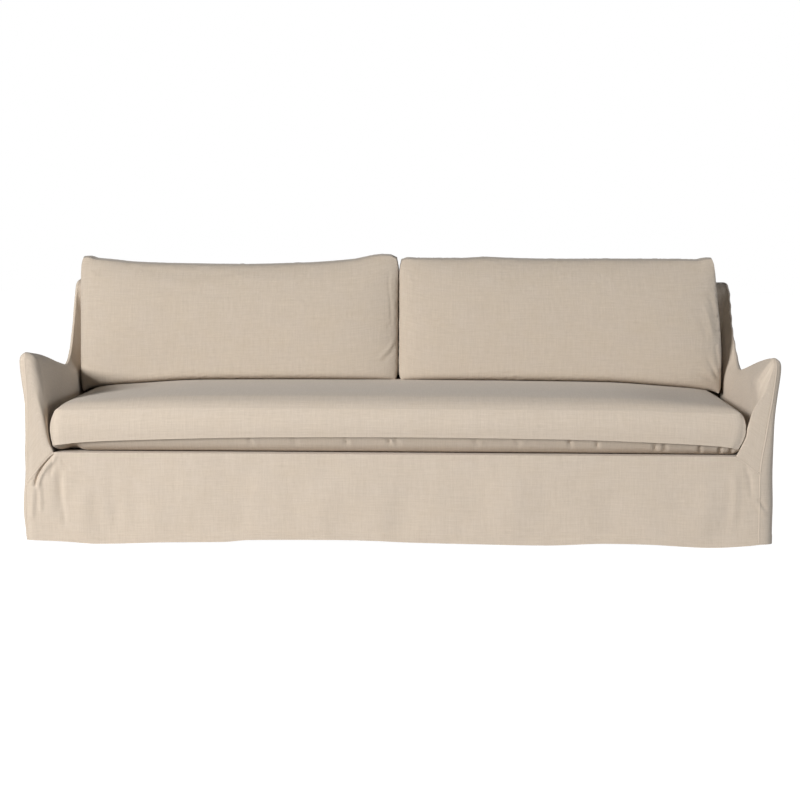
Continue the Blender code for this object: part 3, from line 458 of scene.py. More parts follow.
def section_starts(side):
    """Where each section line of the inside arm begins: grid place on the outside arm's seam, the
    line's inner end on the rim, the outward normal there, and the line's foot."""
    heights = front_heights(side)
    split, top = SEAM_SPLIT[side], heights[-1]
    front_foot, tip_foot = Vector((FRONT, DECK)), Vector((RIM[0][4], RIM[0][5]))
    lines_to_tip = FRONT_ROWS + ROLL_CELLS + WRAP_CELLS
    starts = []
    for k in range(FRONT_ROWS + 1):
        z = mix(DECK, top, (heights[LOW_ROWS + k] - split) / (top - split))
        foot = front_foot.lerp(tip_foot, (k / lines_to_tip) ** FOOT_EASING)
        starts.append(((0, LOW_ROWS + k), Vector((FRONT, z)), Vector((-1.0, 0.0)), foot))
    around = [(0, LOW_ROWS + FRONT_ROWS + k) for k in range(1, ROLL_CELLS + 1)]
    around += [(k, ARM_ROWS) for k in range(1, WRAP_CELLS)]
    centre = Vector((FRONT + CORNER_TIP, TIP_Z - CORNER_TIP))
    for k, cell in enumerate(around, start=FRONT_ROWS + 1):
        rim = outside_arm_point(side, *cell).yz
        foot = front_foot.lerp(tip_foot, (k / lines_to_tip) ** FOOT_EASING)
        starts.append((cell, rim, (rim - centre).normalized(), foot))
    for k, (place, normal, _, foot) in enumerate(stations):
        starts.append(((WRAP_CELLS + k, ARM_ROWS), place, normal, foot))
    return starts


def profile_distance(spot):
    """How far a place in the side view lies inside the arm's front and rim."""
    return min((spot - start - run * max(0.0, min(1.0, (spot - start).dot(run) / run.length_squared))).length
               for start, run in profile)


tip_centre = Vector((FRONT + CORNER_TIP, TIP_Z - CORNER_TIP))
turns = [math.radians(angle) for angle in (0, 30, 60)]
outline = [Vector((FRONT, DECK))]
outline += [tip_centre + CORNER_TIP * Vector((-math.cos(turn), math.sin(turn))) for turn in turns]
outline += [station[0] for station in stations]
profile = [(start, end - start) for start, end in zip(outline, outline[1:])]


def section_line(side, start):
    """The points of one section line, from the seam across the arm and down its inner face."""
    cell, rim, normal, foot = start
    seam = outside_arm_point(side, *cell)
    on_front = cell[0] == 0 and cell[1] <= LOW_ROWS + FRONT_ROWS
    slanting = ease((rim.x - ROLL_REAR_ENDS[0]) / (ROLL_REAR_ENDS[1] - ROLL_REAR_ENDS[0]))
    across = look_up(ROLL[side], rim.y, 1)
    deep = mix(look_up(ROLL[side], rim.y, 2), ROLL_DEEP_REAR, slanting)
    seam_along = look_up(ARM_FRONT[side], seam.z, 2) if on_front else abs(seam.x)
    edge_x = inner_x(side, rim.x, rim.y)
    drop = (rim - foot).length
    deep = max(min(deep, ROLL_SHARE[1] * drop), TINY)
    across = min(mix(across, deep, slanting), ROLL_WIDEST * deep,
                 mix(*ROLL_SHARE, slanting) * (seam_along - edge_x))
    band = math.hypot(seam_along - edge_x - across, (seam.z - rim.y) if on_front else 0.0)
    total = band + across + drop
    evenness = ease(drop / LONG_DROP)
    points = []
    for k in range(SECTION_CELLS + 1):
        if k <= BAND_CELLS:
            fitted = band * k / BAND_CELLS
        else:
            fitted = band + (total - band) * ((k - BAND_CELLS) / FACE_CELLS) ** FACE_EASING
        run = mix(total * (k / SECTION_CELLS) ** SHORT_EASING, fitted, evenness)
        if run <= band + SPECK:
            along = mix(seam_along, edge_x + across, run / band)
            if on_front:
                points.append(front_point(side, along, mix(seam.z, rim.y, run / band)))
            else:
                points.append(Vector((side * along, rim.x, rim.y)))
        else:
            spot = rim.lerp(foot, (run - band) / (total - band))
            inside = min(1.0, profile_distance(spot) / deep)
            round_edge = 1.0 - math.sqrt(1.0 - (1.0 - inside) ** 2)
            slant = (1.0 - inside) ** mix(*ROLL_SLANT, slanting)
            rolled = across * mix(round_edge, slant, max(slanting, look_up(ROLL[side], rim.y, 3)))
            rolled *= ease((spot.y - DECK) / ROLL_FOOT)
            points.append(Vector((side * (inner_x(side, spot.x, spot.y) + rolled), spot.x, spot.y)))
    return points


PANELS = ("front_skirt", "outside_arm_right", "outside_arm_left", "inside_arm_right",
          "inside_arm_left", "inside_back", "outside_back")
net = bmesh.new()
net.faces.layers.int.new("panel")
net.loops.layers.uv.new("weave")


def add_panel(cloth, number, points):
    """Adds a panel to a cloth: points[column][row] are its places, and the weave's layout on it is
    measured along its middle row and up its columns."""
    label, weave = cloth.faces.layers.int["panel"], cloth.loops.layers.uv["weave"]
    columns, rows = len(points) - 1, len(points[0]) - 1
    across = [0.0]
    for before, after in zip(points, points[1:]):
        across.append(across[-1] + (after[rows // 2] - before[rows // 2]).length)
    up = []
    for line in points:
        up.append([0.0])
        for before, after in zip(line, line[1:]):
            up[-1].append(up[-1][-1] + (after - before).length)
    made = bmesh.ops.create_grid(cloth, x_segments=columns, y_segments=rows, size=0.5)["verts"]
    cells = {vert: (round((vert.co.x + 0.5) * columns), round((vert.co.y + 0.5) * rows)) for vert in made}
    for vert, (column, row) in cells.items():
        vert.co = points[column][row]
    for face in {face: None for vert in made for face in vert.link_faces}:
        face[label] = number
        for loop in face.loops:
            column, row = cells[loop.vert]
            loop[weave].uv = (across[column], up[column][row])


sections = {side: [section_line(side, start) for start in section_starts(side)] for side in (RIGHT, LEFT)}
for side, word in ((RIGHT, "right"), (LEFT, "left")):
    add_panel(net, PANELS.index(f"outside_arm_{word}"),
              [[outside_arm_point(side, column, row) for row in range(ARM_ROWS + 1)]
               for column in range(WRAP_CELLS + SIDE_CELLS + 1)])
    add_panel(net, PANELS.index(f"inside_arm_{word}"), sections[side])

# The skirt: its top follows the slanting seams and the deck's front edge, its sides the arm seams.
left_seam = [outside_arm_point(LEFT, 0, row) for row in range(LOW_ROWS + 1)]
right_seam = [outside_arm_point(RIGHT, 0, row) for row in range(LOW_ROWS + 1)]
deck_edge = [sections[LEFT][0][-1].lerp(sections[RIGHT][0][-1], look_up(SKIRT_STATIONS, k / SKIRT_CELLS))
             for k in range(1, SKIRT_CELLS)]
skirt_top = sections[LEFT][0] + deck_edge + sections[RIGHT][0][::-1]
foot_ends = cloth_along(left_seam[0]), cloth_along(right_seam[0])
head_ends = cloth_along(skirt_top[0]), cloth_along(skirt_top[-1])
skirt_lines = []
for head in skirt_top:
    place = cloth_along(head)
    foot = mix(*foot_ends, (place - head_ends[0]) / (head_ends[1] - head_ends[0]))
    line = []
    for row in range(LOW_ROWS):
        along = mix(foot, place, (row / LOW_ROWS) ** SKIRT_EASING)
        line.append(front_point(RIGHT if along >= 0 else LEFT, abs(along), head.z * row / LOW_ROWS))
    skirt_lines.append(line + [head])
skirt_lines[0], skirt_lines[-1] = left_seam, right_seam
add_panel(net, PANELS.index("front_skirt"), skirt_lines)

# The inside back: up its raked face and over the top band, in line with the rim's rows. The outside
# back hangs from the top seam between the outside arms.
first = next(k for k, start in enumerate(section_starts(RIGHT)) if start[3].x >= DECK_REAR - TINY)
left_line = [line[-1] for line in sections[LEFT][first:]]
right_line = [line[-1] for line in sections[RIGHT][first:]]
add_panel(net, PANELS.index("inside_back"),
          [[low.lerp(high, column / BACK_CELLS) for low, high in zip(left_line, right_line)]
           for column in range(BACK_CELLS + 1)])
left_edge = [outside_arm_point(LEFT, WRAP_CELLS + SIDE_CELLS, row) for row in range(ARM_ROWS + 1)]
right_edge = [outside_arm_point(RIGHT, WRAP_CELLS + SIDE_CELLS, row) for row in range(ARM_ROWS + 1)]
back_top = (sections[LEFT][-1] + [left_line[-1].lerp(right_line[-1], k / BACK_CELLS)
                                  for k in range(1, BACK_CELLS)] + sections[RIGHT][-1][::-1])
back_lines = []
for k, head in enumerate(back_top):
    hem_share = (head.x - back_top[0].x) / (back_top[-1].x - back_top[0].x)
    share = k / (len(back_top) - 1)
    foot = left_edge[0].lerp(right_edge[0], hem_share)
    line = []
    for row in range(ARM_ROWS + 1):
        up = row / ARM_ROWS
        corners = left_edge[0].lerp(right_edge[0], share).lerp(left_edge[-1].lerp(right_edge[-1], share), up)
        line.append(foot.lerp(head, up) + left_edge[row].lerp(right_edge[row], share) - corners)
    back_lines.append(line)
add_panel(net, PANELS.index("outside_back"), back_lines)
bmesh.ops.remove_doubles(net, verts=net.verts, dist=NET_WELD)
bmesh.ops.recalc_face_normals(net, faces=net.faces)


def smoothed(cloth, levels):
    """The cloth with each cell halved a few times and rounded, as a mesh."""
    coarse = bpy.data.objects.new("coarse", bpy.data.meshes.new("coarse"))
    cloth.to_mesh(coarse.data)
    scene.collection.objects.link(coarse)
    rounding = coarse.modifiers.new("rounding", "SUBSURF")
    rounding.levels = rounding.render_levels = levels
    rounding.uv_smooth = "NONE"
    bpy.context.view_layer.update()
    made = bpy.data.meshes.new_from_object(coarse.evaluated_get(bpy.context.evaluated_depsgraph_get()))
    bpy.data.objects.remove(coarse, do_unlink=True)
    return made


cover = smoothed(net, NET_LEVELS)
net.free()

# ---- Folds and creases of the cover ---------------------------------------------------------------
# The cloth pulls tight over the frame and is loose at its seams: short creases gather where the
# slanting front seams meet the skirt, the skirt waves a little, and the hem rises and falls.

# Height of the front hem above the floor, by place across the front.
FRONT_HEM = ((-1.140, 0.0100), (-1.043, 0.0065), (-0.938, 0.0000), (-0.740, 0.0057),
             (-0.550, 0.0083), (-0.466, 0.0150), (-0.210, 0.0168), (-0.078, 0.0150),
             (0.010, 0.0110), (0.200, 0.0070), (0.450, 0.0040), (0.634, 0.0106),
             (0.764, 0.0090), (0.960, 0.0000), (1.068, 0.0060), (1.118, 0.0110))
SIDE_HEM_WAVE, BACK_HEM_WAVE = 0.006, 0.004
BACK_HEM_TURN, BACK_HEM_START = 5.2, 0.6   # the back hem's waves: turn a metre, and where they start
HEM_FRONT, HEM_REAR, HEM_BACK_END = FRONT + 0.03, BACK_HEM - 0.02, 1.1   # places where the hems meet
HEM_REACH = 0.25                           # the hem's waves die out this far up
HEM_TURN, HEM_STEP = 0.025, 0.0009         # the hem is turned up this far and stands this much thicker

# Folds of the front: half width, height (+ is out), then the places in x and z that they run through.
FRONT_FOLDS = (
    (0.010, 0.0035, (-1.132, 0.198), (-1.145, 0.060)),
    (0.014, -0.0030, (-1.058, 0.240), (-1.060, 0.080)),
    (0.030, 0.0040, (-0.985, 0.180), (-0.975, 0.010)),
    (0.050, 0.0035, (-0.780, 0.230), (-0.740, 0.010)),
    (0.045, -0.0030, (-0.500, 0.240), (-0.480, 0.010)),
    (0.060, 0.0035, (-0.240, 0.200), (-0.260, 0.010)),
    (0.045, -0.0030, (0.030, 0.180), (0.010, 0.010)),
    (0.070, 0.0030, (0.330, 0.240), (0.350, 0.010)),
    (0.050, -0.0035, (0.640, 0.180), (0.660, 0.010)),
    (0.050, 0.0045, (0.950, 0.200), (0.930, 0.010)),
    # left arm's front, from its tip down
    (0.0045, -0.0009, (-1.116, 0.487), (-1.108, 0.442), (-1.096, 0.399)),
    (0.0045, 0.0008, (-1.127, 0.472), (-1.117, 0.428), (-1.105, 0.390)),
    # where the left slanting seam ends: the long fold, its ridge and the pinches round it
    (0.0045, -0.0070, (-1.070, 0.283), (-1.088, 0.262), (-1.110, 0.236), (-1.125, 0.205),
     (-1.132, 0.170)),
    (0.0060, 0.0042, (-1.062, 0.276), (-1.079, 0.255), (-1.101, 0.229), (-1.116, 0.199),
     (-1.124, 0.160)),
    (0.0040, -0.0050, (-1.073, 0.267), (-1.082, 0.256)),
    (0.0070, -0.0022, (-1.075, 0.242), (-1.088, 0.205)),
    (0.0060, -0.0026, (-1.051, 0.264), (-1.040, 0.245), (-1.022, 0.236)),
    (0.0100, -0.0028, (-1.051, 0.224), (-1.052, 0.171), (-1.037, 0.042)),
    (0.0080, 0.0030, (-1.118, 0.192), (-1.114, 0.088)),
    (0.0050, 0.0022, (-1.142, 0.198), (-1.142, 0.177)),
    (0.0200, -0.0016, (-0.896, 0.231), (-0.879, 0.046)),
    # right front corner
    (0.0070, -0.0042, (1.106, 0.152), (1.120, 0.128), (1.134, 0.109)),
    (0.0080, 0.0030, (1.104, 0.140), (1.118, 0.116), (1.130, 0.090)),
    (0.0090, -0.0024, (1.060, 0.262), (1.078, 0.215), (1.086, 0.150)),
    (0.0140, 0.0026, (1.030, 0.250), (1.036, 0.160), (1.022, 0.040)),
)
TROUGH_SHARE, TROUGH_REACH = 0.35, 2.5     # each fold has soft troughs beside it (or ridges)
FOLD_FADE = 0.3                            # share of its length over which a fold dies out
FOLD_STEPS = 6                             # straight pieces between two of a fold's places
FOLD_REACH = 4                             # a fold is felt this many half widths away


def fold_relief(places, folds):
    """Height of folds at 2D places: each row is half width, height and the points it runs through."""
    relief = np.zeros(len(places))
    for half_width, height, *points in folds:
        points = [Vector(point) for point in points]
        line = [through(points, k, step / FOLD_STEPS)
                for k in range(len(points) - 1) for step in range(FOLD_STEPS)]
        line = np.array([tuple(point) for point in line + [points[-1]]])
        runs = np.linalg.norm(np.diff(line, axis=0), axis=1)
        length = runs.sum()
        reach = FOLD_REACH * half_width
        low, high = line.min(axis=0) - reach, line.max(axis=0) + reach
        near = np.nonzero(((places > low) & (places < high)).all(axis=1))[0]
        away, share = np.full(len(near), np.inf), np.zeros(len(near))
        for k, run in enumerate(runs):
            step = (line[k + 1] - line[k]) / run
            offset = places[near] - line[k]
            t = np.clip(offset @ step, 0.0, run)
            distance = np.linalg.norm(offset - t[:, None] * step, axis=1)
            closer = distance < away
            away = np.where(closer, distance, away)
            share = np.where(closer, (runs[:k].sum() + t) / length, share)
        a = away / half_width
        profile = (1 + TROUGH_SHARE) * np.exp(-a * a) - TROUGH_SHARE * np.exp(-(a / TROUGH_REACH) ** 2)
        fade = np.clip(np.minimum(share, 1 - share) / FOLD_FADE, 0, 1)
        relief[near] += height * profile * fade * (2 - fade)
    return relief


def waviness(place, lengths, seed, height):
    """Soft random height with a wave length along each axis."""
    scaled = Vector([value / length for value, length in zip(place, lengths)])
    return noise.noise(scaled + Vector((seed, 0, 0))) * height


def hem_lift(point):
    """How far the hem is off the floor at this place round the cover."""
    if point.y < HEM_FRONT:
        return look_up(FRONT_HEM, point.x)
    end = FRONT_HEM[-1][1] if point.x > 0 else FRONT_HEM[0][1]
    depth = max(0.0, min(1.0, (point.y - FRONT) / (BACK_HEM - FRONT)))
    if point.y > HEM_REAR and abs(point.x) < HEM_BACK_END:
        return BACK_HEM_WAVE * math.sin(point.x * BACK_HEM_TURN + BACK_HEM_START) ** 2
    return mix(end, 0.0, ease(depth)) + SIDE_HEM_WAVE * math.sin(depth * math.pi * 2) ** 2


# Front folds lie on the flat of the front: how far it reaches round a corner, and how squarely the
# cloth faces the front, each with the blend that ends it. Over the deck only the arms have any.
FRONT_REACH, FRONT_FACING = (0.022, 0.012), (0.25, 0.35)
SKIRT_END, SKIRT_TOP = 1.06, (DECK - 0.004, 0.03)
# Cloth that hangs free waves softly: wave length along each axis, seed and height of both waves.
BROAD_WAVE, FINE_WAVE = ((0.13, 0.13, 0.34), 3.1, 0.0034), ((0.045, 0.045, 0.10), 8.7, 0.0011)
TAUT_HEIGHT, TAUT_SHARE = 0.5, 0.6         # the broad wave has lost this share at this height
PRESSED_IN = 0.0010                        # cloth beside a cushion is pressed in by this
# Free cloth begins under the deck's seam, on the arms' outer faces, at the front and at the rear, each
# with its blend.
ARM_OUTSIDE, DECK_BLEND, FRONT_BLEND, REAR_BLEND = (1.125, 0.03), 0.02, 0.04, 0.03
# The right wing's stitches pull its edge into scallops: height, turn a metre, and where they begin.
WING_SCALLOP, WING_SCALLOPS = 0.0013, 150.0
WING_ACROSS, WING_BACK, WING_UP = (1.12, 0.03), (0.10, 0.12), (0.52, 0.08)
# The left arm's crest and valley lie higher than the right one's, beyond this place and in this band.
LEFT_RISE, LEFT_FROM, LEFT_FOOT, LEFT_TIP = 0.0045, -1.09, (0.42, 0.10), (0.57, 0.12)


def past(value, start, blend):
    """0 before the start, rising smoothly to 1 over the blend behind it."""
    return ease((value - start) / blend)


# Every vertex of the cover is moved along its normal, a little in where a cushion lies against it.
places = np.empty(len(cover.vertices) * 3)
normals = np.empty(len(cover.vertices) * 3)
cover.vertices.foreach_get("co", places)
cover.vertex_normals.foreach_get("vector", normals)
places, normals = places.reshape(-1, 3), normals.reshape(-1, 3)
on_front = np.clip((FRONT + FRONT_REACH[0] - places[:, 1]) / FRONT_REACH[1], 0, 1)
on_front *= np.clip((-normals[:, 1] - FRONT_FACING[0]) / FRONT_FACING[1], 0, 1)
relief = np.zeros(len(places))
relief[on_front > 0] = fold_relief(places[on_front > 0][:, [0, 2]], FRONT_FOLDS)
relief *= on_front
on_skirt = np.clip((SKIRT_TOP[0] - places[:, 2]) / SKIRT_TOP[1], 0, 1)
relief *= np.where(np.abs(places[:, 0]) < SKIRT_END, on_skirt, 1.0)
for k, (x, y, z) in enumerate(places):
    free = max(ease((DECK - z) / DECK_BLEND), past(abs(x), *ARM_OUTSIDE),
               1.0 - ease((y - FRONT) / FRONT_BLEND), ease((y - BACK_TOP + REAR_BLEND) / REAR_BLEND))
    wave = waviness((x, y, z), *BROAD_WAVE) * (1.0 - TAUT_SHARE * ease(z / TAUT_HEIGHT))
    wave += waviness((x, y, z), *FINE_WAVE)
    relief[k] += free * wave - (1.0 - free) * PRESSED_IN
    if x > 0:
        on_wing = past(x, *WING_ACROSS) * past(y, *WING_BACK) * past(z, *WING_UP)
        places[k, 0] += on_wing * WING_SCALLOP * math.sin(z * WING_SCALLOPS)
    if x < LEFT_FROM:
        places[k, 2] += LEFT_RISE * past(z, *LEFT_FOOT) * (1.0 - past(z, *LEFT_TIP))
    if z < HEM_REACH:
        places[k, 2] += hem_lift(Vector((x, y, z))) * (1.0 - z / HEM_REACH)
    if z < HEM_TURN:
        relief[k] += HEM_STEP
places += normals * relief[:, None]
cover.vertices.foreach_set("co", places.ravel())
cover.update()

# ---- Panels of the cover --------------------------------------------------------------------------
# Seven panels of heavy linen, cut with seam allowances and sewn to each other right sides together.
# Each is taken off the shared net and gets its thickness inwards.
CLOTH = 0.002              # thickness of every panel
SEAM_PULL = 0.0002         # each panel stops this far short of the seam line
HARD_TURN = math.radians(50)               # cloth that turns more than this shows a hard edge

shell = bmesh.new()
shell.from_mesh(cover)
shell.normal_update()
inwards = shell.verts.layers.float_vector.new("inwards")
for vert in shell.verts:
    vert[inwards] = -vert.normal * CLOTH * vert.calc_shell_factor()


def make_piece(name, cloth, material):
    """A finished piece from a bmesh: smooth, with sharp edges only where it turns hard."""
    mesh = bpy.data.meshes.new(name)
    cloth.to_mesh(mesh)
    cloth.free()
    mesh.materials.append(material)
    mesh.shade_smooth()
    mesh.set_sharp_from_angle(angle=HARD_TURN)
    made = bpy.data.objects.new(name, mesh)
    scene.collection.objects.link(made)
    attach(made, "root")
    return made


def cut_panel(number):
    """One panel taken off the net: pulled back from its seams, then thickened inwards."""
    cloth = shell.copy()
    label = cloth.faces.layers.int["panel"]
    inwards = cloth.verts.layers.float_vector["inwards"]
    pulls = {}
    for vert in cloth.verts:
        if len({face[label] for face in vert.link_faces}) < 2:
            continue
        own = [face for face in vert.link_faces if face[label] == number]
        if own:
            middle = sum((face.calc_center_median() for face in own), Vector()) / len(own)
            pulls[vert] = (middle - vert.co).normalized() * SEAM_PULL
    bmesh.ops.delete(cloth, geom=[face for face in cloth.faces if face[label] != number], context="FACES")
    for vert, pull in pulls.items():
        vert.co += pull
    kept = cloth.faces[:] + cloth.edges[:] + cloth.verts[:]
    grown = bmesh.ops.extrude_face_region(cloth, geom=kept, use_keep_orig=True)["geom"]
    for vert in grown:
        if isinstance(vert, bmesh.types.BMVert):
            vert.co += vert[inwards]
    bmesh.ops.recalc_face_normals(cloth, faces=cloth.faces)
    return cloth


for number, name in enumerate(PANELS):
    make_piece(f"{name}_cloth", cut_panel(number), cover_linen)
    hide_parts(name)

# ---- Deck -----------------------------------------------------------------------------------------
# The flat panel under the seat cushion, of the same linen, sewn in between skirt, arms and back. It
# lies on the sofa's springs and sags a hair between its seams.
DECK_GAP = 0.0006          # between its edges and the panels that it is sewn to
DECK_SAG = 0.0002
DECK_CELLS = (120, 48)
deck = bmesh.new()
deck.faces.layers.int.new("panel")
deck.loops.layers.uv.new("weave")
deck_lines = []
for column in range(DECK_CELLS[0] + 1):
    line = []
    for row in range(DECK_CELLS[1] + 1):
        y = mix(FRONT + CLOTH + DECK_GAP, DECK_REAR - DECK_GAP, row / DECK_CELLS[1])
        left, right = (side * (inner_x(side, y, DECK) - CLOTH - DECK_GAP) for side in (LEFT, RIGHT))
        line.append(Vector((mix(left, right, column / DECK_CELLS[0]), y, DECK - DECK_SAG)))
    deck_lines.append(line)
add_panel(deck, 0, deck_lines)
bmesh.ops.recalc_face_normals(deck, faces=deck.faces)
if next(iter(deck.faces)).normal.z < 0:
    bmesh.ops.reverse_faces(deck, faces=deck.faces)
kept = deck.faces[:] + deck.edges[:] + deck.verts[:]
for vert in bmesh.ops.extrude_face_region(deck, geom=kept, use_keep_orig=True)["geom"]:
    if isinstance(vert, bmesh.types.BMVert):
        vert.co.z -= CLOTH
bmesh.ops.recalc_face_normals(deck, faces=deck.faces)
deck_cloth = make_piece("seat_deck_cloth", deck, cover_linen)
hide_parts("seat_deck")

# ---- Seams of the cover ---------------------------------------------------------------------------
# The seam allowances lie folded to one side under the cloth, which shows as a low rounded ridge along
# each seam. Beside the front seams, and above the hem, runs a line of topstitching in linen thread.
SEAM_HALF, SEAM_HEIGHT = 0.0030, 0.0012
STITCH_PITCH, THREAD_HALF, THREAD_DIP = 0.0048, 0.00035, 0.0007
BESIDE = 0.0055                            # the topstitching keeps this far from its seam
RIDGE_STEP = 0.004                         # the weave runs this far on from ring to ring of a ridge


def seam_line(cloth, first, second=None):
    """The seam between two panels, or a panel's free edge, in order: places and outward normals."""
    label = cloth.faces.layers.int["panel"]
    wanted = {first} if second is None else {first, second}
    links = {}
    for edge in cloth.edges:
        if {face[label] for face in edge.link_faces} == wanted \
                and (len(edge.link_faces) == 1) == (second is None):
            for vert in edge.verts:
                links.setdefault(vert, []).append(edge)
    ends = [vert for vert, own in links.items() if len(own) == 1]
    vert = ends[0] if ends else next(iter(links))
    line, passed = [(vert.co.copy(), vert.normal.copy())], set()
    while True:
        ahead = [edge for edge in links[vert] if edge not in passed]
        if not ahead:
            return line
        passed.add(ahead[0])
        vert = ahead[0].other_vert(vert)
        line.append((vert.co.copy(), vert.normal.copy()))


def evenly(line, pitch):
    """Places at even distances along a line, with their normals."""
    made, run, target = [], 0.0, 0.0
    for (place, normal), (ahead, ahead_normal) in zip(line, line[1:]):
        length = (ahead - place).length
        while length > SPECK and target <= run + length:
            t = (target - run) / length
            made.append((place.lerp(ahead, t), normal.lerp(ahead_normal, t).normalized()))
            target += pitch
        run += length
    return made


def add_ridge(cloth, line, half_width, height, rounds=8):
    """A low closed ridge along a line, pointed at its ends, or a ring where the line closes."""
    weave = cloth.loops.layers.uv.verify()
    closed = (line[0][0] - line[-1][0]).length < TINY
    made = bmesh.ops.create_grid(cloth, x_segments=len(line) - 1, y_segments=rounds, size=0.5)["verts"]
    for vert in made:
        k, turn = round((vert.co.x + 0.5) * (len(line) - 1)), (vert.co.y + 0.5) * 2 * math.pi
        for loop in vert.link_loops:
            loop[weave].uv = (k * RIDGE_STEP, (vert.co.y + 0.5) * half_width * 4)
        place, normal = line[k]
        ahead, behind = line[min(k + 1, len(line) - 1)][0], line[max(k - 1, 0)][0]
        if closed and k in (0, len(line) - 1):
            ahead, behind = line[1][0], line[-2][0]
        side = (ahead - behind).normalized().cross(normal).normalized()
        size = 0.0 if not closed and k in (0, len(line) - 1) else 1.0
        vert.co = place + (side * math.cos(turn) * half_width + normal * math.sin(turn) * height) * size
    bmesh.ops.remove_doubles(cloth, verts=made, dist=TINY)


def add_stitches(thread, line):
    """A thread along a line that lies on the cloth for each stitch and dips into it in between."""
    heights = (-THREAD_DIP, THREAD_HALF, THREAD_HALF)
    path = [(place + normal * heights[k % 3], normal)
            for k, (place, normal) in enumerate(evenly(line, STITCH_PITCH / 3))]
    add_ridge(thread, path, THREAD_HALF, THREAD_HALF, rounds=5)


surface = BVHTree.FromBMesh(shell)


def moved_line(line, sideways=0.0, up=0.0):
    """A line shifted along the cloth, and laid back on it."""
    made = []
    for k, (place, normal) in enumerate(line):
        run = (line[min(k + 1, len(line) - 1)][0] - line[max(k - 1, 0)][0]).normalized()
        target = place + run.cross(normal).normalized() * sideways + Vector((0, 0, up))
        found, found_normal, *_ = surface.find_nearest(target)
        made.append((found, found_normal))
    return made


seams, thread = bmesh.new(), bmesh.new()
number = {name: PANELS.index(name) for name in PANELS}
front_lines = [seam_line(shell, number["front_skirt"], number[name])
               for name in ("outside_arm_right", "outside_arm_left", "inside_arm_right", "inside_arm_left")]
rim_lines = [seam_line(shell, number[f"outside_arm_{word}"], number[f"inside_arm_{word}"])
             for word in ("right", "left")]
back_lines = [seam_line(shell, number["outside_back"], number[name])
              for name in ("outside_arm_right", "outside_arm_left", "inside_back",
                           "inside_arm_right", "inside_arm_left")]
for line in front_lines + rim_lines + back_lines:
    add_ridge(seams, line, SEAM_HALF, SEAM_HEIGHT)
for line in front_lines[2:] + rim_lines:
    add_stitches(thread, moved_line(line, sideways=BESIDE))
    add_stitches(thread, moved_line(line, sideways=-BESIDE))
for name in ("front_skirt", "outside_arm_right", "outside_arm_left", "outside_back"):
    add_stitches(thread, moved_line(seam_line(shell, number[name]), up=HEM_TURN))
make_piece("cover_seams", seams, cover_linen)
make_piece("cover_topstitching", thread, cover_linen)
shell.free()

# ---- Bench cushion --------------------------------------------------------------------------------
# One long filled cushion in its own linen case: top and bottom panels, a boxing band all round, and
# a seam above and below it. The crown is full in the middle and falls towards both ends.
SEAT_PLAN = {"left": -1.0860, "right": 1.0700, "widen_left": 0.003, "widen_right": 0.018,
             "front": -0.492, "rear": 0.262, "high_seam": 0.425, "top": 0.470}
# The lower seam hangs down towards the ends: place across, height.
LOW_SEAM = ((-1.095, 0.304), (-1.00, 0.316), (-0.85, 0.324), (-0.40, 0.336), (0.0, 0.3385), (0.50, 0.335),
            (0.80, 0.3260), (0.95, 0.3190), (1.03, 0.313), (1.07, 0.304))
SEAT_CORNER = 0.038        # radius of its upright corners
SIDE_SWELL = 0.006         # the boxing of every cushion bulges by this
REST_GAP = 0.0004          # between a cushion and what it rests on
SEAT_CELLS = (300, 100, 20)                # across, from front to rear, and up
# How the crown rises from an end or an edge: distance from it, share of the full crown.
CROWN_RISE_END = ((0.0, 0.0), (0.012, 0.17), (0.04, 0.33), (0.09, 0.47), (0.16, 0.59), (0.40, 0.92),
                  (0.75, 1.0))
CROWN_RISE_FRONT = ((0.0, 0.0), (0.008, 0.28), (0.025, 0.55), (0.06, 0.78), (0.13, 0.92), (0.30, 1.0))
CROWN_RISE_REAR = ((0.0, 0.0), (0.012, 0.70), (0.03, 1.0))
# How the underside falls to the deck, from an end and from the front or the rear.
BELLY_RISE_END = ((0.0, 0.0), (0.004, 0.45), (0.010, 0.78), (0.022, 0.95), (0.05, 1.0))
BELLY_RISE_EDGE = ((0.0, 0.0), (0.010, 0.14), (0.030, 0.62), (0.055, 0.92), (0.09, 1.0))
# Under its left front corner the case is drawn up: place across, half width and depth.
HOLLOW = (-1.024, 0.024, 0.13)
# The boxing leans in towards the upper seam, within this far of the ends and of the front.
UPPER_LEAN, LEAN_END, LEAN_FRONT, LEAN_POWER = 0.009, 0.12, 0.10, 3
# Its upper edge sinks at the ends, and a little along the front but for its middle: depths and widths.
END_SINK, END_SINK_WIDTH = 0.018, 0.045
EDGE_SINK, EDGE_SINK_WIDTH, EDGE_SINK_LENGTH = 0.009, 0.035, 0.45
# Its front corners tuck in towards the lower seam by this, over this depth.
LOWER_TUCK, TUCK_DEPTH, TUCK_POWER = {RIGHT: 0.022, LEFT: 0.004}, 0.22, 2.5
SEAT_CROWDING = (0.70, 0.90)               # how far its cells crowd to its ends, and to front and rear
CORNER_PULL = 0.8                          # how far its corners are drawn to their round
EDGE = 0.9999              # a case's point beyond this lies on the edge of a panel


def seat_ends(y):
    """Where the bench cushion's ends lie at this depth."""
    back = ease((y - SEAT_PLAN["front"]) / (SEAT_PLAN["rear"] - SEAT_PLAN["front"]))
    return (SEAT_PLAN["left"] - SEAT_PLAN["widen_left"] * back,
            SEAT_PLAN["right"] + SEAT_PLAN["widen_right"] * back)


def seat_top(x, y):
    """Height of the bench cushion's top."""
    left, right = seat_ends(y)
    rise = look_up(CROWN_RISE_END, min(x - left, right - x))
    rise *= look_up(CROWN_RISE_FRONT, y - SEAT_PLAN["front"])
    rise *= look_up(CROWN_RISE_REAR, SEAT_PLAN["rear"] - y)
    return SEAT_PLAN["high_seam"] + (SEAT_PLAN["top"] - SEAT_PLAN["high_seam"]) * rise


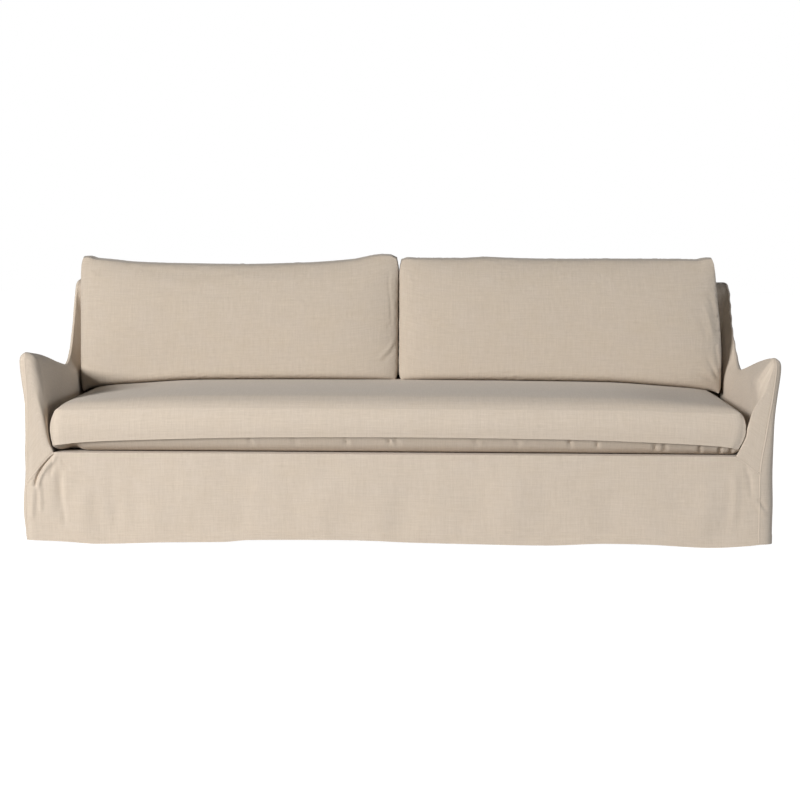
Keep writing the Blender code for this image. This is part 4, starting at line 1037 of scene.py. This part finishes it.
def spread(t, sharpness):
    """Moves evenly spaced places from -1 to 1 closer to both ends."""
    return math.sin(t * math.pi / 2 * sharpness) / math.sin(math.pi / 2 * sharpness)


def seat_point(a, b, c):
    """The bench cushion's surface, each of a, b and c from -1 to 1 and at least one of them there."""
    y = mix(SEAT_PLAN["front"], SEAT_PLAN["rear"], (spread(b, SEAT_CROWDING[1]) + 1) / 2)
    left, right = seat_ends(y)
    x = mix(left, right, (spread(a, SEAT_CROWDING[0]) + 1) / 2)
    from_end = min(x - left, right - x)
    from_edge = min(y - SEAT_PLAN["front"], SEAT_PLAN["rear"] - y)
    reach = math.hypot(max(0.0, SEAT_CORNER - from_end), max(0.0, SEAT_CORNER - from_edge))
    if reach > SEAT_CORNER:
        pull = (reach - SEAT_CORNER) * CORNER_PULL
        x += math.copysign(pull * (SEAT_CORNER - from_end) / reach, -a)
        y += math.copysign(pull * (SEAT_CORNER - from_edge) / reach, -b)
    if abs(c) > EDGE and max(abs(a), abs(b)) < EDGE:
        belly = look_up(BELLY_RISE_END, from_end) * look_up(BELLY_RISE_EDGE, from_edge)
        belly *= 1.0 - math.exp(-((x - HOLLOW[0]) / HOLLOW[1]) ** 2) * (1.0 - ease(from_edge / HOLLOW[2]))
        bottom = mix(look_up(LOW_SEAM, x), DECK + REST_GAP, belly)
        return Vector((x, y, seat_top(x, y) if c > 0 else bottom))
    swell = SIDE_SWELL * (1 - c * c)
    x += math.copysign(swell, a) if abs(a) > EDGE else 0.0
    y += math.copysign(swell, b) if abs(b) > EDGE else 0.0
    return Vector((x, y, mix(look_up(LOW_SEAM, x), SEAT_PLAN["high_seam"], (c + 1) / 2)))


def seat_fit(spot):
    """Leans the boxing in towards its upper seam and tucks its front corners in below."""
    left, right = seat_ends(spot.y)
    middle = (left + right) / 2
    low = look_up(LOW_SEAM, spot.x)
    up = (spot.z - low) / (SEAT_PLAN["high_seam"] - low)
    from_end, from_front = min(spot.x - left, right - spot.x), spot.y - SEAT_PLAN["front"]
    lean = UPPER_LEAN * max(0.0, up) ** LEAN_POWER
    along_front = 1.0 - ease(from_end / EDGE_SINK_LENGTH)
    sunk = max(END_SINK * max(0.0, 1.0 - from_end / END_SINK_WIDTH) ** 2,
               EDGE_SINK * max(0.0, 1.0 - from_front / EDGE_SINK_WIDTH) ** 2 * along_front)
    spot.z -= sunk * max(0.0, min(1.0, up)) ** 2
    tuck = LOWER_TUCK[RIGHT if spot.x > middle else LEFT] * max(0.0, min(1.0, 1.0 - up)) ** TUCK_POWER
    tuck *= 1.0 - ease(from_front / TUCK_DEPTH)
    near_end = 1.0 - ease(from_end / LEAN_END)
    spot.x -= math.copysign((lean + tuck) * near_end, spot.x - middle)
    spot.y += lean * (1.0 - ease(from_front / LEAN_FRONT))
    return spot


def boxed_case(cells, place):
    """A boxed cushion case: two faces and a band round them, sewn to one closed form. place(a, b, c)
    puts the points of a cube from -1 to 1, whose band goes round the given axis."""
    case = bmesh.new()
    case.faces.layers.int.new("panel")
    case.loops.layers.uv.new("weave")
    for axis in range(3):
        u, v = [other for other in range(3) if other != axis]
        for end in (-1.0, 1.0):
            points = []
            for column in range(cells[u] + 1):
                line = []
                for row in range(cells[v] + 1):
                    spot = [0.0, 0.0, 0.0]
                    spot[axis] = end
                    spot[u] = -1.0 + 2.0 * column / cells[u]
                    spot[v] = -1.0 + 2.0 * row / cells[v]
                    line.append(place(*spot))
                points.append(line)
            add_panel(case, axis * 2 + (end > 0), points)
    bmesh.ops.remove_doubles(case, verts=case.verts, dist=CASE_WELD)
    bmesh.ops.recalc_face_normals(case, faces=case.faces)
    case.normal_update()
    return case


# Short puckers hang from the seat's lower seam: half width, depth, and the places across.
PUCKER = (0.0060, -0.0052)
PUCKERS = (-0.465, -0.330, -0.172, -0.039, -0.015, 0.232, 0.360, 0.522, 0.605, 0.784, 0.815, 0.923,
           0.985, 1.019)
PUCKER_TOP, PUCKER_FOOT = Vector((0.0, -0.002)), Vector((0.006, -0.030))   # off the seam, x and z
seam_places = [Vector((x, look_up(LOW_SEAM, x))) for x in PUCKERS]
# All the seat's folds: its puckers, those of its ends and one long crease, in rows as above.
SEAT_FOLDS = tuple((*PUCKER, place + PUCKER_TOP, place + PUCKER_FOOT) for place in seam_places) + (
    (0.0060, 0.0025, (-0.458, 0.332), (-0.452, 0.306)),
    (0.0040, -0.0016, (0.050, 0.449), (0.062, 0.427), (0.074, 0.406)),
    (0.0060, -0.0008, (0.078, 0.402), (0.080, 0.368)),
    (0.0040, 0.0018, (-1.084, 0.430), (-1.066, 0.412)),
    (0.0040, -0.0020, (-1.090, 0.420), (-1.072, 0.400)),
    (0.0040, -0.0016, (-1.094, 0.372), (-1.084, 0.366)),
    (0.0040, -0.0018, (-1.092, 0.338), (-1.080, 0.334)),
    (0.0040, -0.0022, (1.030, 0.322), (1.036, 0.306)),
    (0.0045, -0.0020, (1.060, 0.372), (1.070, 0.366)))
SEAM_STAND = 0.0011        # a cushion's seams stand up by this
CASE_FACING = (0.2, 0.3)   # how squarely cloth must face the front to be creased, and the blend


def creased(case, folds):
    """Presses folds into a case's front and lets its seams stand up a little."""
    case.normal_update()
    label = case.faces.layers.int["panel"]
    facing = [vert for vert in case.verts if -vert.normal.y > CASE_FACING[0]]
    relief = fold_relief(np.array([(vert.co.x, vert.co.z) for vert in facing]), folds)
    moves = [(vert, height * min(1.0, (-vert.normal.y - CASE_FACING[0]) / CASE_FACING[1]))
             for vert, height in zip(facing, relief)]
    moves += [(vert, SEAM_STAND) for vert in case.verts
              if len({face[label] for face in vert.link_faces}) > 1]
    for vert, height in moves:
        vert.co += vert.normal * height
    return case


seat_linen = linen("seat_cloth", (0.640, 0.556, 0.470), (0.535, 0.457, 0.375), (1.0, 0.985, 0.95))
seat = creased(boxed_case(SEAT_CELLS, lambda a, b, c: seat_fit(seat_point(a, b, c))), SEAT_FOLDS)
seat_cushion = make_piece("seat_cushion_case", seat, seat_linen)
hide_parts("seat_cushion")

# ---- Back cushions --------------------------------------------------------------------------------
# Two loose boxed cushions that lean on the raked back: crowned fronts, drawn-in sides, and soft ears
# at the top corners. Their cases are the same linen with painted shade: a darker, yellower copy of it.
shaded_back_linen = linen("back_cloth_painted_shade", (0.570, 0.493, 0.413), (0.476, 0.405, 0.330), (1.0, 0.985, 0.94))
RAKE = math.atan2(RIM[BACK_EDGE_ROW][0] - DECK_REAR, RIM[BACK_EDGE_ROW][1] - DECK)
# Their left and right sides by share of the height, and the height of the top by place across it.
BACKS = {
    "back_cushion_left": {"left": ((0.0, -1.1000), (0.30, -1.1050), (0.80, -1.1120), (1.0, -1.1140)),
                          "right": ((0.0, -0.0180), (0.50, -0.0186), (1.0, -0.0180)),
                          "top_line": ((-1.130, 0.867), (-1.112, 0.8775), (-1.093, 0.8795), (-1.065, 0.8725),
                                       (-1.020, 0.8685), (-0.930, 0.8600), (-0.80, 0.8560), (-0.57, 0.8540),
                                       (-0.35, 0.8600), (-0.18, 0.8730), (-0.07, 0.8915), (-0.045, 0.8900),
                                       (-0.028, 0.8820), (-0.018, 0.8720))},
    "back_cushion_right": {"left": ((0.0, -0.0120), (0.50, -0.0114), (1.0, -0.0122)),
                           "right": ((0.0, 1.0880), (0.35, 1.0910), (0.80, 1.0780), (1.0, 1.0720)),
                           "top_line": ((-0.012, 0.868), (0.000, 0.876), (0.016, 0.8805), (0.045, 0.8790),
                                        (0.19, 0.8790), (0.29, 0.8835), (0.38, 0.8800), (0.52, 0.8780),
                                        (0.70, 0.8795), (0.95, 0.8800), (1.015, 0.8790), (1.050, 0.8850),
                                        (1.068, 0.8850), (1.080, 0.8740))},
}
BACK_CASE_CELLS = (170, 16, 76)            # across, from front to rear, and up
BACK_CROWDING = 0.80       # how far their cells crowd to the boxing
SIT_GAP = 0.0010           # they clear the seat by this where its crown falls,
SIT_DEPTH, SIT_FALL = 0.10, (0.25, 0.20)   # worked out at this depth; the fall's start and blend
BOX_HALF = 0.060           # half the width of their boxing
FRONT_CROWN, REAR_CROWN = 0.057, 0.014     # how far the front and the rear bulge past the boxing
CORNER_DRAW, CORNER_POWER = 0.008, 13      # how far the corners themselves are rounded in
# How squarely the crown fills its panel: powers towards the top, the foot and the sides, and of all.
FULL_TOP, FULL_FOOT, FULL_SIDES, FULL_ALL = 2.2, 20.0, 4.5, 0.62
REAR_FULLNESS = 1.6        # the rear fills out this much sooner
LEAN_GAP = 0.0012          # behind the back cushions


def back_cushion_point(plan, a, b, c):
    """A back cushion's surface: boxed all round, leaning on the inside back, crowned to the front."""
    u, w = (spread(a, BACK_CROWDING) + 1) / 2, (spread(c, BACK_CROWDING) + 1) / 2
    x = mix(look_up(plan["left"], w), look_up(plan["right"], w), u)
    x -= CORNER_DRAW * (2 * u - 1) ** CORNER_POWER * abs(2 * w - 1) ** CORNER_POWER
    seat_height = seat_top(x, SIT_DEPTH) + mix(REST_GAP, SIT_GAP, past(abs(x), *SIT_FALL))
    z = mix(seat_height, look_up(plan["top_line"], x), w)
    middle = DECK_REAR + (z - DECK) * math.tan(RAKE) - LEAN_GAP - REAR_CROWN - BOX_HALF
    if max(abs(a), abs(c)) > EDGE:
        swell = SIDE_SWELL * (1 - b * b)
        x += math.copysign(swell * 0.5, a) if abs(a) > EDGE else 0.0
        z += swell if c > EDGE else 0.0
        return Vector((x, middle + b * BOX_HALF, z))
    fullness = 1 - abs(2 * w - 1) ** (FULL_TOP if w > 0.5 else FULL_FOOT)
    rise = ((1 - abs(2 * u - 1) ** FULL_SIDES) * fullness) ** FULL_ALL
    if b < 0:
        return Vector((x, middle - BOX_HALF - FRONT_CROWN * rise, z))
    return Vector((x, middle + BOX_HALF + REAR_CROWN * min(1.0, rise * REAR_FULLNESS), z))


# Folds of the back cushions' fronts, the left one's first.
BACK_FOLDS = (
    (0.0060, 0.0028, (-0.084, 0.540), (-0.052, 0.570), (-0.028, 0.606)),
    (0.0070, -0.0022, (-0.074, 0.528), (-0.042, 0.556), (-0.024, 0.588)),
    (0.0050, -0.0015, (-0.060, 0.640), (-0.034, 0.668)),
    (0.0045, -0.0014, (-0.045, 0.850), (-0.050, 0.790), (-0.042, 0.730), (-0.040, 0.650)),
    (0.0120, 0.0009, (-0.900, 0.800), (-0.750, 0.794), (-0.600, 0.792)),
    (0.0110, -0.0008, (-0.820, 0.772), (-0.640, 0.756), (-0.500, 0.758)),
    (0.0120, 0.0009, (-0.620, 0.820), (-0.430, 0.806), (-0.280, 0.812)),
    (0.0100, -0.0008, (-0.900, 0.836), (-0.710, 0.824), (-0.550, 0.830)),
    (0.0110, 0.0008, (-0.560, 0.742), (-0.400, 0.734), (-0.290, 0.742)),
    (0.0090, 0.0012, (-1.090, 0.840), (-1.060, 0.820), (-1.020, 0.812)),
    (0.0120, -0.0026, (1.046, 0.780), (1.066, 0.716), (1.078, 0.640), (1.080, 0.590)),
    (0.0070, 0.0016, (1.026, 0.740), (1.048, 0.680), (1.060, 0.620)),
    (0.0070, -0.0012, (1.010, 0.700), (1.030, 0.650), (1.040, 0.600)),
    (0.0060, -0.0028, (1.082, 0.478), (1.056, 0.520), (1.036, 0.562)),
    (0.0060, 0.0022, (1.070, 0.478), (1.040, 0.505), (1.010, 0.532)),
    (0.0050, -0.0020, (1.060, 0.472), (1.026, 0.488), (0.985, 0.498)),
    (0.0070, -0.0020, (1.086, 0.500), (1.076, 0.550), (1.068, 0.604)),
    (0.0050, -0.0018, (0.585, 0.476), (0.600, 0.506)),
    (0.0050, 0.0016, (0.598, 0.474), (0.613, 0.502)),
    (0.0060, 0.0012, (0.010, 0.846), (0.030, 0.800), (0.034, 0.740)))
# The cloth's own settling, worked out by simulation: each case is cut a little too full for its filling.
SETTLING_FRAMES, CASE_FULLNESS, FILLING_GRIP = 12, 0.02, 0.4


def settled(case):
    """A case after its cloth has settled over its filling; the seams stay where they are sewn."""
    mesh = bpy.data.meshes.new("settling")
    case.to_mesh(mesh)
    cloth = bpy.data.objects.new("settling", mesh)
    scene.collection.objects.link(cloth)
    label = case.faces.layers.int["panel"]
    sewn = [vert.index for vert in case.verts if len({face[label] for face in vert.link_faces}) > 1]
    held = cloth.vertex_groups.new(name="held")
    held.add(range(len(case.verts)), FILLING_GRIP, "REPLACE")
    held.add(sewn, 1.0, "REPLACE")
    simulation = cloth.modifiers.new("settling", "CLOTH")
    how = simulation.settings
    how.quality, how.mass, how.air_damping = 5, 0.3, 3
    how.tension_stiffness = how.compression_stiffness = 15
    how.shear_stiffness, how.bending_stiffness = 5, 0.5
    how.tension_damping = how.compression_damping = how.shear_damping = 5
    how.vertex_group_mass, how.pin_stiffness, how.shrink_min = "held", 1.0, -CASE_FULLNESS
    how.effector_weights.gravity = 0.0
    simulation.collision_settings.use_collision = False
    simulation.point_cache.frame_start, simulation.point_cache.frame_end = 1, SETTLING_FRAMES
    for frame in range(1, SETTLING_FRAMES + 1):
        scene.frame_set(frame)
    made = bpy.data.meshes.new_from_object(cloth.evaluated_get(bpy.context.evaluated_depsgraph_get()))
    bpy.data.objects.remove(cloth, do_unlink=True)
    case.clear()
    case.from_mesh(made)
    case.verts.index_update()
    bpy.data.meshes.remove(made)
    bpy.data.meshes.remove(mesh)
    scene.frame_set(1)
    return case


for name, plan in BACKS.items():
    case = boxed_case(BACK_CASE_CELLS, lambda a, b, c: back_cushion_point(plan, a, b, c))
    case = settled(case)
    case = creased(case, BACK_FOLDS)
    cushion = make_piece(f"{name}_case", case, shaded_back_linen)
    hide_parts(name)
